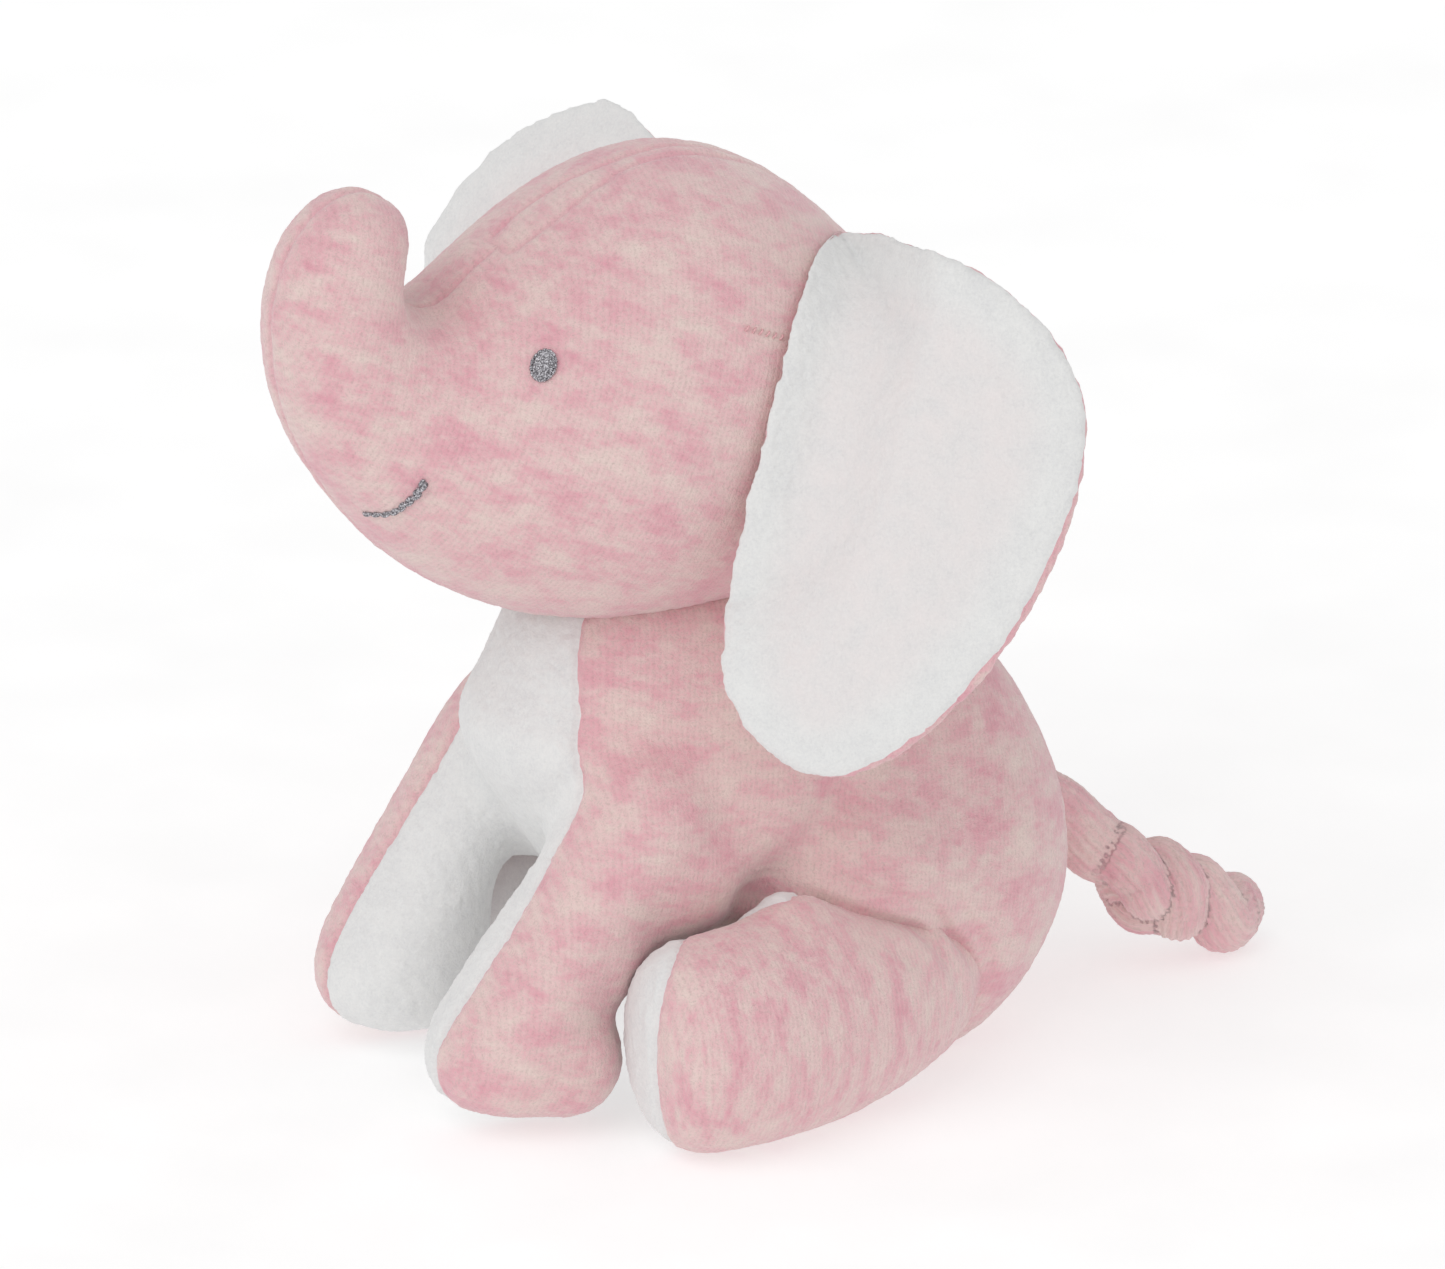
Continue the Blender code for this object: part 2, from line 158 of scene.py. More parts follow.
def welded(node):
    """A CAD node's closed mesh as a bmesh with its split corners joined."""
    shape = bmesh.new()
    shape.from_mesh(frame["nodes"][node].data)
    bmesh.ops.remove_doubles(shape, verts=shape.verts, dist=0.02 * MM)
    bmesh.ops.recalc_face_normals(shape, faces=shape.faces)
    return shape


def grow(shape, distance):
    """Moves every point of a bmesh outwards by a distance, which may be a function of the point."""
    shape.normal_update()
    moves = [vert.normal * (distance(vert.co) if callable(distance) else distance) for vert in shape.verts]
    for vert, move in zip(shape.verts, moves):
        vert.co += move
    return shape


def hull(nodes):
    """The convex hull round some CAD nodes, as a bmesh."""
    shape = bmesh.new()
    for node in nodes:
        for vert in frame["nodes"][node].data.vertices:
            shape.verts.new(vert.co)
    bmesh.ops.convex_hull(shape, input=shape.verts)
    loose = [vert for vert in shape.verts if not vert.link_faces]
    bmesh.ops.delete(shape, geom=loose, context="VERTS")
    return shape


def ball(centre, radii):
    shape = bmesh.new()
    place = Matrix.Translation(centre) @ Matrix.Diagonal((*radii, 1))
    bmesh.ops.create_icosphere(shape, subdivisions=3, radius=1, matrix=place)
    return shape


def stacked_rings(rings, around=32):
    """A closed form through level ellipses, each (height, front y, back y, half width)."""
    shape = bmesh.new()
    loops = []
    for height, front, back, half_width in rings:
        loop = []
        for k in range(around):
            angle = math.tau * k / around
            across = half_width * math.cos(angle)
            along = (front + back) / 2 + (back - front) / 2 * math.sin(angle)
            loop.append(shape.verts.new((across, along, height)))
        loops.append(loop)
    for low, high in zip(loops, loops[1:]):
        for k in range(around):
            shape.faces.new((low[k], low[(k + 1) % around], high[(k + 1) % around], high[k]))
    shape.faces.new(reversed(loops[0]))
    shape.faces.new(loops[-1])
    return shape


def mesh_of(shape, name="form"):
    mesh = bpy.data.meshes.new(name)
    shape.to_mesh(mesh)
    return mesh


def add_shape(shape, other):
    shape.from_mesh(mesh_of(other))


def new_object(name, mesh):
    thing = bpy.data.objects.new(name, mesh)
    bpy.context.scene.collection.objects.link(thing)
    return thing


def object_from(name, points, faces):
    """A smooth-shaded mesh object made of an array of points and a list of faces."""
    mesh = bpy.data.meshes.new(name)
    mesh.from_pydata(points.tolist(), [], faces)
    mesh.shade_smooth()
    return new_object(name, mesh)


def applied(thing):
    """Replaces an object's mesh by what its modifiers make of it."""
    seen = thing.evaluated_get(bpy.context.evaluated_depsgraph_get())
    mesh = bpy.data.meshes.new_from_object(seen)
    thing.modifiers.clear()
    thing.data = mesh
    return thing


def rounded(shape):
    """A faceted bmesh rounded off by subdivision."""
    thing = new_object("form", mesh_of(shape))
    thing.modifiers.new("Round", "SUBSURF").levels = 2
    applied(thing)
    shape.clear()
    shape.from_mesh(thing.data)
    bpy.data.objects.remove(thing)
    return shape


def remeshed(thing, voxel, smoothing):
    """Replaces an object's mesh by one even skin round it, smoothed this many times."""
    remesh = thing.modifiers.new("Remesh", "REMESH")
    remesh.mode = "VOXEL"
    remesh.voxel_size = voxel
    smooth = thing.modifiers.new("Smooth", "SMOOTH")
    smooth.factor = 0.5
    smooth.iterations = smoothing
    return applied(thing)


def skin_over(name, shapes, voxel, smoothing):
    """One closed, evenly meshed skin over overlapping closed forms."""
    whole = bmesh.new()
    for shape in shapes:
        add_shape(whole, shape)
    return remeshed(new_object(name, mesh_of(whole, name)), voxel, smoothing)


# ---------------------------------------------------------------- seams on a coarse skin


def split_on_line(face, on_line):
    """Splits one face between the two of its corners on the line that aren't neighbours."""
    for i, a in enumerate(on_line):
        for b in on_line[i + 1 :]:
            joined = any(b in edge.verts for edge in a.link_edges)
            if not joined:
                bmesh.utils.face_split(face, a, b)
                return


def any_two(first, second):
    return True


class Skin:
    """A coarse closed skin with its kinds of face, on the way to becoming sewn pieces.

    is_seam(first, second) says whether two kinds that meet are sewn together there.
    """

    def __init__(self, thing, name, is_seam=any_two):
        self.thing = thing
        self.is_seam = is_seam
        self.names = [name]
        self.shape = bmesh.new()
        self.shape.from_mesh(thing.data)
        for face in self.shape.faces:
            face.material_index = 0

    def faces_of(self, kinds):
        wanted = [self.names.index(kind) for kind in kinds]
        return [face for face in self.shape.faces if face.material_index in wanted]

    def divide(self, kinds, value, name):
        """Cuts the faces of some kinds where value(point) is 0, and gives the side above 0 a new kind."""
        faces = self.faces_of(kinds)
        height = {vert: value(vert.co) for face in faces for vert in face.verts}
        for vert in height:
            if abs(height[vert]) < NEAR_CUT:
                height[vert] = 0.0
        for edge in dict.fromkeys(edge for face in faces for edge in face.edges):
            a, b = edge.verts
            if height[a] * height[b] < 0:
                share = height[a] / (height[a] - height[b])
                _, middle = bmesh.utils.edge_split(edge, a, share)
                height[middle] = 0.0
        for face in self.faces_of(kinds):
            on_line = [vert for vert in face.verts if height[vert] == 0.0]
            signs = [height[vert] for vert in face.verts]
            if len(on_line) >= 2 and min(signs) < 0 < max(signs):
                split_on_line(face, on_line)
        above = [face for face in self.faces_of(kinds) if sum(height[vert] for vert in face.verts) > 0]
        self.names.append(name)
        for face in above:
            face.material_index = len(self.names) - 1

    def store(self):
        """Writes the cut skin back to its object, with its seams as the points that the solver holds."""
        held = []
        self.shape.verts.index_update()
        for edge in self.shape.edges:
            kinds = {self.names[face.material_index] for face in edge.link_faces}
            if len(kinds) == 2 and self.is_seam(*sorted(kinds)):
                held += [vert.index for vert in edge.verts]
        self.thing.data = mesh_of(self.shape, self.thing.name)
        for _ in self.names:
            self.thing.data.materials.append(None)
        self.thing.vertex_groups.new(name="Seams").add(sorted(set(held)), 1.0, "REPLACE")


def blow_up(things):
    """Runs the cloth solver on all the skins at once: pressure swells them between their held seams."""
    before = {thing: points_of(thing.data) for thing in things}
    for thing in things:
        cloth = thing.modifiers.new("Cloth", "CLOTH")
        cloth.settings.quality = 6
        cloth.settings.mass = 0.1
        cloth.settings.use_pressure = True
        cloth.settings.uniform_pressure_force = PRESSURE
        cloth.settings.vertex_group_mass = "Seams"
        cloth.settings.effector_weights.gravity = 0
        cloth.settings.bending_stiffness = 2
        cloth.collision_settings.use_collision = False
        cloth.point_cache.frame_start = 1
        cloth.point_cache.frame_end = SIMULATED_FRAMES
    for number in range(1, SIMULATED_FRAMES + 1):
        bpy.context.scene.frame_set(number)
    for thing in things:
        applied(thing)
        moved = points_of(thing.data) - before[thing]
        length = np.linalg.norm(moved, axis=1, keepdims=True)
        kept = np.minimum(1, LARGEST_MOVE / np.maximum(length, 1e-9))
        set_points(thing.data, before[thing] + moved * kept)
    bpy.context.scene.frame_set(1)


# ---------------------------------------------------------------- fine skins


def pressed_aside(points, other_points, other_faces, region, gap):
    """Points of a skin, in a region, brought out of another closed skin and a gap away from it."""
    tree = BVHTree.FromPolygons(other_points.tolist(), other_faces)
    moved = points.copy()
    for index in np.nonzero(region)[0]:
        point = Vector(points[index])
        place, normal, _, _ = tree.find_nearest(point, PRESS_REACH)
        if place is not None and (point - place).dot(normal) < gap:
            moved[index] = np.array(place + normal * gap)
    return moved


class Fine:
    """A subdivided skin: its points, kinds and distance to the nearest seam, and the fields that shape it."""

    def __init__(self, skin):
        thing = skin.thing
        thing.modifiers.new("Fine", "SUBSURF").levels = SUBDIVISIONS
        applied(thing)
        mesh = thing.data
        self.names = skin.names
        self.thing = thing
        self.points = points_of(mesh)
        self.quads = np.zeros(len(mesh.loops), np.int64)
        mesh.loops.foreach_get("vertex_index", self.quads)
        self.quads = self.quads.reshape(-1, 4)
        self.kinds = np.zeros(len(self.quads), np.int64)
        mesh.polygons.foreach_get("material_index", self.kinds)
        self.fields = {}
        self.find_seams(skin.is_seam)

    def sides(self):
        """The two ends of every side of every face."""
        return np.stack([self.quads, np.roll(self.quads, -1, axis=1)], axis=2).reshape(-1, 2)

    def find_seams(self, is_seam):
        """Works out each point's distance to the nearest seam."""
        edges = np.sort(self.sides(), axis=1)
        owner = np.repeat(self.kinds, 4)
        order = np.lexsort((edges[:, 1], edges[:, 0]))
        edges, owner = edges[order], owner[order]
        same = (edges[:-1] == edges[1:]).all(axis=1) & (owner[:-1] != owner[1:])
        seam_points = set()
        for k in np.nonzero(same)[0]:
            pair = sorted((self.names[owner[k]], self.names[owner[k + 1]]))
            if is_seam(*pair):
                seam_points.update(edges[k])
        self.seam = np.full(len(self.points), 1.0)
        if seam_points:
            tree = tree_of(self.points[sorted(seam_points)])
            self.seam = np.array([tree.find(point)[2] for point in self.points])

    def share_of(self, names):
        """For each point, the share of its faces that are of these kinds."""
        wanted = np.isin(self.kinds, [self.names.index(name) for name in names]).astype(float)
        hits = np.zeros(len(self.points))
        faces = np.zeros(len(self.points))
        for corner in range(4):
            np.add.at(hits, self.quads[:, corner], wanted)
            np.add.at(faces, self.quads[:, corner], 1)
        return hits / np.maximum(faces, 1)

    def raise_by(self, heights):
        """Moves each point along the surface's normal."""
        set_points(self.thing.data, self.points)
        self.points = self.points + normals_of(self.thing.data) * heights[:, None]

    def smooth(self, weights, rounds):
        """Evens out the points where weights are above 0."""
        edges = self.sides()
        count = np.bincount(edges.ravel(), minlength=len(self.points))[:, None]
        for _ in range(rounds):
            total = np.zeros_like(self.points)
            np.add.at(total, edges[:, 0], self.points[edges[:, 1]])
            np.add.at(total, edges[:, 1], self.points[edges[:, 0]])
            self.points += (total / count - self.points) * weights[:, None]

    def part(self):
        """Parts the skin into one object for each kind of face, named as its kind."""
        made = {}
        for number, name in enumerate(self.names):
            faces = self.quads[self.kinds == number]
            if not len(faces):
                continue
            used, corners = np.unique(faces, return_inverse=True)
            made[name] = object_from(name, self.points[used], corners.reshape(-1, 4).tolist())
            for field, values in self.fields.items():
                store_field(made[name].data, field, values[used])
        bpy.data.objects.remove(self.thing)
        return made


def segment_bell(points, start, end, width):
    """1 on a straight line between two points, falling off to nothing beside it."""
    start, end = np.array(start), np.array(end)
    way = end - start
    share = np.clip((points - start) @ way / (way @ way), 0, 1)
    away = np.linalg.norm(points - start - share[:, None] * way, axis=1)
    return bell(away, width)


GROOVE = 0.75 * MM  # how deep a seam lies
GROOVE_WIDTH = 1.0 * MM
PUCKER = 0.28 * MM  # the ripple beside a seam
PUCKER_LENGTH = 3.4 * MM
PUCKER_REACH = 2.4 * MM
VELOUR_NAP = 0.11 * MM
MINKY_NAP = 0.17 * MM
NAP_SIZE = 1.1 * MM
LUMP_HEIGHT = 0.22 * MM  # of the stuffing, through the cover
LUMP_SIZE = 9 * MM
SEAM_SHADE = 0.9 * MM  # how far from a seam its darker line reaches


def nap_at(points):
    """The height of the pile, for a nap of 1."""
    return noise(points, NAP_SIZE, 5) + 0.7 * noise(points, NAP_SIZE / 2, 6)


def sew_and_nap(fine, white_kinds, groove=GROOVE, pucker=PUCKER):
    """Gives a fine skin its seam grooves, the puckers beside them and the nap of its two fabrics."""
    ripples = noise(fine.points, PUCKER_LENGTH, 3) * bell(fine.seam - PUCKER_REACH, PUCKER_REACH)
    fine.raise_by(pucker * ripples - groove * bell(fine.seam, GROOVE_WIDTH))
    fine.fields["place"] = fine.points.copy()
    fine.fields["by_seam"] = bell(fine.seam, SEAM_SHADE)
    white = fine.share_of(white_kinds)
    nap = VELOUR_NAP * (1 - white) + MINKY_NAP * white
    fine.raise_by(nap * nap_at(fine.points) + LUMP_HEIGHT * noise(fine.points, LUMP_SIZE, 7))


# ---------------------------------------------------------------- threads and tubes


def curve_through(points, spacing):
    """Evenly spaced points on a smooth curve through the given ones."""
    points = np.array(points, float)
    points = np.vstack([2 * points[0] - points[1], points, 2 * points[-1] - points[-2]])
    dense = []
    for a, b, c, d in zip(points, points[1:], points[2:], points[3:]):
        for t in np.linspace(0, 1, 20, endpoint=False):
            bend = (2 * a - 5 * b + 4 * c - d) * t**2 + (3 * b - a - 3 * c + d) * t**3
            dense.append(b + 0.5 * ((c - a) * t + bend))
    dense = np.array(dense + [points[-2]])
    along = lengths_along(dense)
    steps = np.linspace(0, along[-1], max(2, round(along[-1] / spacing)) + 1)
    return np.column_stack([np.interp(steps, along, dense[:, axis]) for axis in range(3)])


def lengths_along(path):
    """How far each point of a path lies from its start, along it."""
    steps = np.linalg.norm(np.diff(path, axis=0), axis=1)
    return np.concatenate([[0], np.cumsum(steps)])


def steady_frames(path):
    """Two directions across a path at each of its points, which turn no more than the path does."""
    ahead = np.gradient(path, axis=0)
    ahead /= np.linalg.norm(ahead, axis=1, keepdims=True)
    side = np.cross(ahead[0], (0.31, 0.17, 0.93))
    across = []
    for direction in ahead:
        side = side - direction * (side @ direction)
        side = side / np.linalg.norm(side)
        across.append(side)
    across = np.array(across)
    return across, np.cross(ahead, across)


def tube(path, radii, around):
    """A closed tube along a path, as points and faces. The radii may differ by point and by angle."""
    across, over = steady_frames(path)
    angles = math.tau * np.arange(around) / around
    spokes = across[:, None] * np.cos(angles)[:, None] + over[:, None] * np.sin(angles)[:, None]
    radii = np.broadcast_to(np.asarray(radii, float).reshape(len(path), -1), (len(path), around))
    rings = path[:, None] + spokes * radii[:, :, None]
    points = np.vstack([rings.reshape(-1, 3), path[:1], path[-1:]])
    first, last, end = len(points) - 2, len(points) - 1, (len(path) - 1) * around
    faces = []
    for k in range(around):
        beside = (k + 1) % around
        for i in range(0, end, around):
            faces.append((i + k, i + beside, i + around + beside, i + around + k))
        faces.append((first, beside, k))
        faces.append((last, end + k, end + beside))
    return points, faces


def round_ended(path, radius):
    """Radii along a path that close to a round end on each side."""
    along = lengths_along(path)
    inwards = np.clip(np.minimum(along, along[-1] - along) / radius, 0, 1)
    return radius * np.sqrt(np.maximum(1 - (1 - inwards) ** 2, 0.03))


def piece_of_tubes(name, tubes):
    """One mesh object made of several tubes."""
    points = []
    faces = []
    count = 0
    for tube_points, tube_faces in tubes:
        points.append(tube_points)
        faces += [tuple(count + corner for corner in face) for face in tube_faces]
        count += len(tube_points)
    return object_from(name, np.vstack(points), faces)


# ---------------------------------------------------------------- materials


class Shader:
    """A new material, with short ways to add nodes to it."""

    def __init__(self, name):
        self.material = bpy.data.materials.new(name)
        self.material.use_nodes = True
        self.tree = self.material.node_tree
        self.surface = self.tree.nodes["Principled BSDF"]

    def put(self, socket, value):
        """Links an input to another node's output, or sets it to a plain value."""
        if isinstance(value, bpy.types.NodeSocket):
            self.tree.links.new(value, socket)
        else:
            socket.default_value = value

    def node(self, kind, **inputs):
        node = self.tree.nodes.new(f"ShaderNode{kind}")
        for name, value in inputs.items():
            self.put(node.inputs[name], value)
        return node

    def maths(self, operation, first, second, clamp=False):
        node = self.node("Math")
        node.operation = operation
        node.use_clamp = clamp
        self.put(node.inputs[0], first)
        self.put(node.inputs[1], second)
        return node.outputs[0]

    def weighted(self, *terms):
        """The sum of (value, weight) terms."""
        total, *others = [self.maths("MULTIPLY", value, weight) for value, weight in terms]
        for other in others:
            total = self.maths("ADD", total, other)
        return total

    def stretched(self, place, lengths):
        """Coordinates in which one unit is this many metres along each axis."""
        return self.node("Mapping", Vector=place, Scale=[1 / length for length in lengths]).outputs["Vector"]

    def noise(self, place, lengths, detail, rough):
        """Noise whose bumps have these lengths along the axes."""
        vector = self.stretched(place, lengths)
        return self.node("TexNoise", Vector=vector, Scale=1.0, Detail=detail, Roughness=rough).outputs["Fac"]

    def mixed(self, share, first, second, blend="MIX"):
        """A colour mixed from two by a share."""
        node = self.node("Mix")
        node.data_type = "RGBA"
        node.blend_type = blend
        for number, value in ((0, share), (6, first), (7, second)):
            self.put(node.inputs[number], value)
        return node.outputs[2]

    def ramp(self, value, stops):
        """A colour ramp with (place, colour) stops."""
        node = self.node("ValToRGB", Fac=value)
        band = node.color_ramp
        while len(band.elements) < len(stops):
            band.elements.new(0.5)
        for element, (place, colour) in zip(band.elements, stops):
            element.position = place
            element.color = (*colour, 1)
        return node.outputs["Color"]

    def field(self, name, output="Fac"):
        """A field that the mesh stores."""
        node = self.node("Attribute")
        node.attribute_name = name
        return node.outputs[output]

    def object_points(self):
        return self.node("TexCoord").outputs["Object"]

    def bump(self, height, distance, strength):
        node = self.node("Bump", Height=height, Distance=distance, Strength=strength)
        self.put(self.surface.inputs["Normal"], node.outputs["Normal"])

    def finished(self, **inputs):
        """The material with its surface's inputs, named with _ for each space."""
        for name, value in inputs.items():
            self.put(self.surface.inputs[name.replace("_", " ")], value)
        return self.material


def grey(value):
    return (value, value, value)


CREAM = (0.815, 0.655, 0.61)
BLUSH = (0.805, 0.578, 0.568)
ROSE = (0.795, 0.478, 0.508)
DEEP_ROSE = (0.76, 0.38, 0.44)
HEATHER = ((0.48, CREAM), (0.60, BLUSH), (0.70, ROSE), (0.82, DEEP_ROSE))
# the pile's own speckle and painted shade: the velour darker where its bump is low
VELOUR_SPECKLE_AND_PAINTED_SHADE = ((0.36, (0.82, 0.81, 0.81)), (0.56, grey(0.97)), (0.72, grey(1.0)))
# painted shade: the white pile greyer where its bump is low
MINKY_PAINTED_SHADE = ((0.32, (0.70, 0.70, 0.705)), (0.50, (0.765, 0.765, 0.76)), (0.68, (0.815, 0.812, 0.80)))
# the thread's own dark and grey flecks, and pale flecks that are partly painted glints
SILVER_FLECKS_AND_GLINTS = ((0.36, (0.10, 0.095, 0.105)), (0.50, (0.27, 0.26, 0.28)), (0.64, (0.82, 0.81, 0.85)))
LINING = (0.80, 0.69, 0.69, 1)
RIB_PITCH = 1.0 * MM
RIBS_PER_METRE = math.tau / 20  # a wave texture's scale for one rib a unit
VELOUR_FIBRE = 0.42 * MM
MINKY_FIBRE = 0.55 * MM
MINKY_TUFT = 5 * MM
FLECK = 0.28 * MM
TWIST = 0.2 * MM


def heathered(name, lengths, tilt=0.0):
    """Pink heather velour: cream and rose yarns in soft streaks, knitted ribs across them and a short nap,
    with painted shade where the ribs and nap lie low, over the pile's own speckle.

    The lengths are the streaks' own size along each axis, and the tilt turns them about the X axis.
    """
    shader = Shader(name)
    turn = shader.node("Mapping", Vector=shader.field("place", "Vector"), Rotation=(tilt, 0, 0))
    grain = turn.outputs["Vector"]
    patches = shader.noise(grain, [1.9 * length for length in lengths], 3.0, 0.6)
    yarns = shader.noise(grain, [0.6 * length for length in lengths], 4.0, 0.65)
    fibre = shader.noise(grain, [VELOUR_FIBRE] * 3, 2.0, 0.75)
    colour = shader.ramp(shader.weighted((patches, 0.66), (yarns, 0.34), (fibre, 0.26)), HEATHER)
    colour = shader.mixed(shader.maths("MULTIPLY", shader.field("by_seam"), 0.5), colour, (*DEEP_ROSE, 1))

    vector = shader.stretched(grain, [RIB_PITCH] * 3)
    ribs = shader.node("TexWave", Vector=vector, Scale=RIBS_PER_METRE, Distortion=1.6, Detail=1.0)
    ribs.wave_type = "BANDS"
    ribs.bands_direction = "Y"
    surface = shader.weighted((ribs.outputs["Fac"], 0.09), (fibre, 1.0))
    # painted shade in the hollows of the ribs and nap, with the pile's own speckle
    colour = shader.mixed(1.0, colour, shader.ramp(surface, VELOUR_SPECKLE_AND_PAINTED_SHADE), "MULTIPLY")
    shader.bump(surface, 0.25 * MM, 0.9)
    return shader.finished(
        Base_Color=colour,
        Roughness=0.92,
        Specular_IOR_Level=0.12,
        Sheen_Weight=0.6,
        Sheen_Roughness=0.45,
        Sheen_Tint=(1.0, 0.90, 0.91, 1),
    )


def minky(name):
    """White short pile with painted shade, a little grey, in its hollows, and faintly pink where the lining
    shows through.
    """
    shader = Shader(name)
    place = shader.field("place", "Vector")
    pile = shader.noise(place, [MINKY_FIBRE] * 3, 3.0, 0.7)
    tufts = shader.noise(place, [MINKY_TUFT] * 3, 4.0, 0.6)
    shade = shader.weighted((pile, 0.6), (tufts, 0.4))
    lining = shader.maths("MULTIPLY", shader.field("lining"), tufts)
    # painted shade in the pile's hollows, mixed with the pink lining showing through in the middle
    colour = shader.mixed(lining, shader.ramp(shade, MINKY_PAINTED_SHADE), LINING)
    shader.bump(shade, 0.3 * MM, 0.7)
    return shader.finished(
        Base_Color=colour,
        Roughness=0.95,
        Specular_IOR_Level=0.1,
        Sheen_Weight=0.4,
        Sheen_Roughness=0.5,
    )


def metallic_thread(name):
    """Grey embroidery thread with a metal strand: dark and pale flecks, the pale ones partly painted glints,
    over a shine that changes with them.
    """
    shader = Shader(name)
    fleck = shader.noise(shader.object_points(), [FLECK] * 3, 2.0, 0.6)
    rough = shader.maths("MULTIPLY", fleck, 0.9, clamp=True)
    shader.bump(fleck, 0.06 * MM, 0.6)
    return shader.finished(Base_Color=shader.ramp(fleck, SILVER_FLECKS_AND_GLINTS), Roughness=rough, Metallic=0.55)


def cotton_thread(name, colour):
    """Plain sewing thread with its twist, and painted shade where the twist lies low."""
    shader = Shader(name)
    twist = shader.noise(shader.object_points(), [TWIST] * 3, 2.0, 0.6)
    # painted shade: the thread darker where its twist bump is low
    twist_shade = tuple(0.75 * value for value in colour)
    shader.bump(twist, 0.05 * MM, 0.5)
    return shader.finished(Base_Color=shader.ramp(twist, ((0.35, twist_shade), (0.65, colour))), Roughness=0.75)


BODY_STREAKS = (5.2 * MM, 5.2 * MM, 2.7 * MM)
LEG_STREAKS = (2.6 * MM, 2.2 * MM, 5 * MM)
TAIL_STREAKS = (2.4 * MM, 2.4 * MM, 5 * MM)
LOOKS = {  # each look's material, and its slot in the record
    "head": (heathered("heather_velour_head", BODY_STREAKS, math.radians(20)), PINK),
    "body": (heathered("heather_velour_body", BODY_STREAKS, math.radians(10)), PINK),
    "leg": (heathered("heather_velour_leg", LEG_STREAKS), PINK),
    "tail": (heathered("heather_velour_tail", TAIL_STREAKS), PINK),
    "white": (minky("white_minky"), WHITE),
    "silver": (metallic_thread("silver_thread"), SILVER),
    "pink_thread": (cotton_thread("pink_thread", (0.84, 0.48, 0.50)), THREAD),
}


def finish_piece(piece, look, nodes, moves):
    """Gives a piece its material, hides the CAD nodes that it stands for and ties it to the body that it
    moves with; a piece given a bend is only fixed where it lies.
    """
    material, slot = LOOKS[look]
    piece.data.materials.clear()
    piece.data.materials.append(material)
    if nodes:
        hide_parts(*nodes)
    if isinstance(moves, str):
        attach(piece, moves)
    else:
        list(moves)
        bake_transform(piece)


# ---------------------------------------------------------------- body and front legs

NECK_RINGS = (  # in mm: the fabric under the head, up to where it is out of sight in the head
    (58, -64, 37, 37),
    (68, -67, 32, 35),
    (80, -62.5, 22, 31),
    (90, -58, 12, 27),
    (97, -50, 2, 19),
)
LEG_FILLING = (  # balls that fill a left front leg out, each (centre, radii) in mm
    ((25.5, -43, 45), (17.5, 18, 15)),  # towards the belly
    ((31, -57, 38), (11, 10.5, 17)),  # over the hind foot
    ((30, -64, 13.5), (13, 12, 12.5)),  # at the heel
)
RUMP_FULLNESS = 1.8 * MM
RUMP_START = (0, 25 * MM)  # y over which the rump grows full
RUMP_FOOT = (8 * MM, 36 * MM)  # and z
LEG_TOP = Vector((0, -56.5, 38.3)) * MM  # on the slanting plane that parts the front legs from the belly
LEG_DOWN = Vector((0, -0.823, -0.568))  # out of that plane
LEG_BEND = 14 * MM  # the length of the bend listed with each front leg; no piece bends by it
LEG_SEAM_HEIGHTS = (8 * MM, 16 * MM, 36 * MM, 48 * MM, 60 * MM)
LEG_SEAM_MIDDLES = (24 * MM, 24 * MM, 26 * MM, 25.5 * MM, 25 * MM)
CHEST_HEIGHTS = (60 * MM, 92 * MM)  # the white chest narrows between these, towards the neck
CHEST_HALF_WIDTHS = (25 * MM, 12 * MM)
BELLY_BACK = -4 * MM  # the white belly ends here, at the front of the seat
SEAT_HALF = (24.5 * MM, 20.9 * MM)
SEAT_TOP = 2.5 * MM


def sided(point, side):
    """The point as seen from one side, with x positive outwards."""
    return Vector((point.x * side, point.y, point.z))


def body_seam(first, second):
    """True where two kinds of the body's skin are sewn together, and not only parted at a moving leg."""
    whites = [("inner" in name or "chest" in name) for name in (first, second)]
    seat = "seat" in first or "seat" in second
    return whites[0] != whites[1] or seat or {first, second} == {"body_left", "body_right"}


def rump_fullness(point):
    return RUMP_FULLNESS * smoothstep(*RUMP_START, point.y) * smoothstep(*RUMP_FOOT, point.z)


def make_body():
    torso = hull(["body_stuffing", "seat_panel"])
    legs = {name: rounded(grow(welded(f"front_leg_{name}_stuffing"), SWELL)) for name in SIDES}
    for name, side in SIDES.items():
        for centre, radii in LEG_FILLING:
            radii = Vector(radii) * MM - Vector((1, 1, 1)) * FORM_TO_COVER
            add_shape(legs[name], ball(sided(Vector(centre) * MM, side), radii))
    neck = stacked_rings([[value * MM for value in ring] for ring in NECK_RINGS])
    reach = FORM_TO_COVER - SWELL
    shapes = [grow(rounded(grow(torso, SWELL)), lambda p: reach + rump_fullness(p)), rounded(neck)]
    shapes += [grow(shape, reach) for shape in legs.values()]
    skin = Skin(skin_over("body_skin", shapes, VOXEL, 6), "body_right", body_seam)

    for name, side in SIDES.items():

        def on_leg(point, side=side):
            return min((point - LEG_TOP).dot(LEG_DOWN), point.x * side)

        skin.divide(["body_right"], on_leg, f"front_leg_{name}_inner")
        skin.divide([f"front_leg_{name}_inner"], leg_seam(side), f"front_leg_{name}_outer")
    skin.divide(["body_right"], lambda p: p.x, "body_left")
    skin.divide(["body_left", "body_right"], chest_value, "chest")
    skin.divide(["body_left", "body_right", "chest"], seat_value, "seat")
    skin.store()
    return skin


def leg_seam(side):
    """The seam that runs down the middle of a front leg: white inside it, pink outside."""

    def value(point):
        return point.x * side - float(np.interp(point.z, LEG_SEAM_HEIGHTS, LEG_SEAM_MIDDLES))

    return value


def chest_value(point):
    """Above 0 on the white chest and belly."""
    half_width = float(np.interp(point.z, CHEST_HEIGHTS, CHEST_HALF_WIDTHS))
    return min(half_width - abs(point.x), BELLY_BACK - point.y)


def seat_value(point):
    """Above 0 on the white seat."""
    reach = 1 - math.hypot(point.x / SEAT_HALF[0], point.y / SEAT_HALF[1])
    return min(reach * SEAT_HALF[1], SEAT_TOP - point.z)


# ---------------------------------------------------------------- hind legs

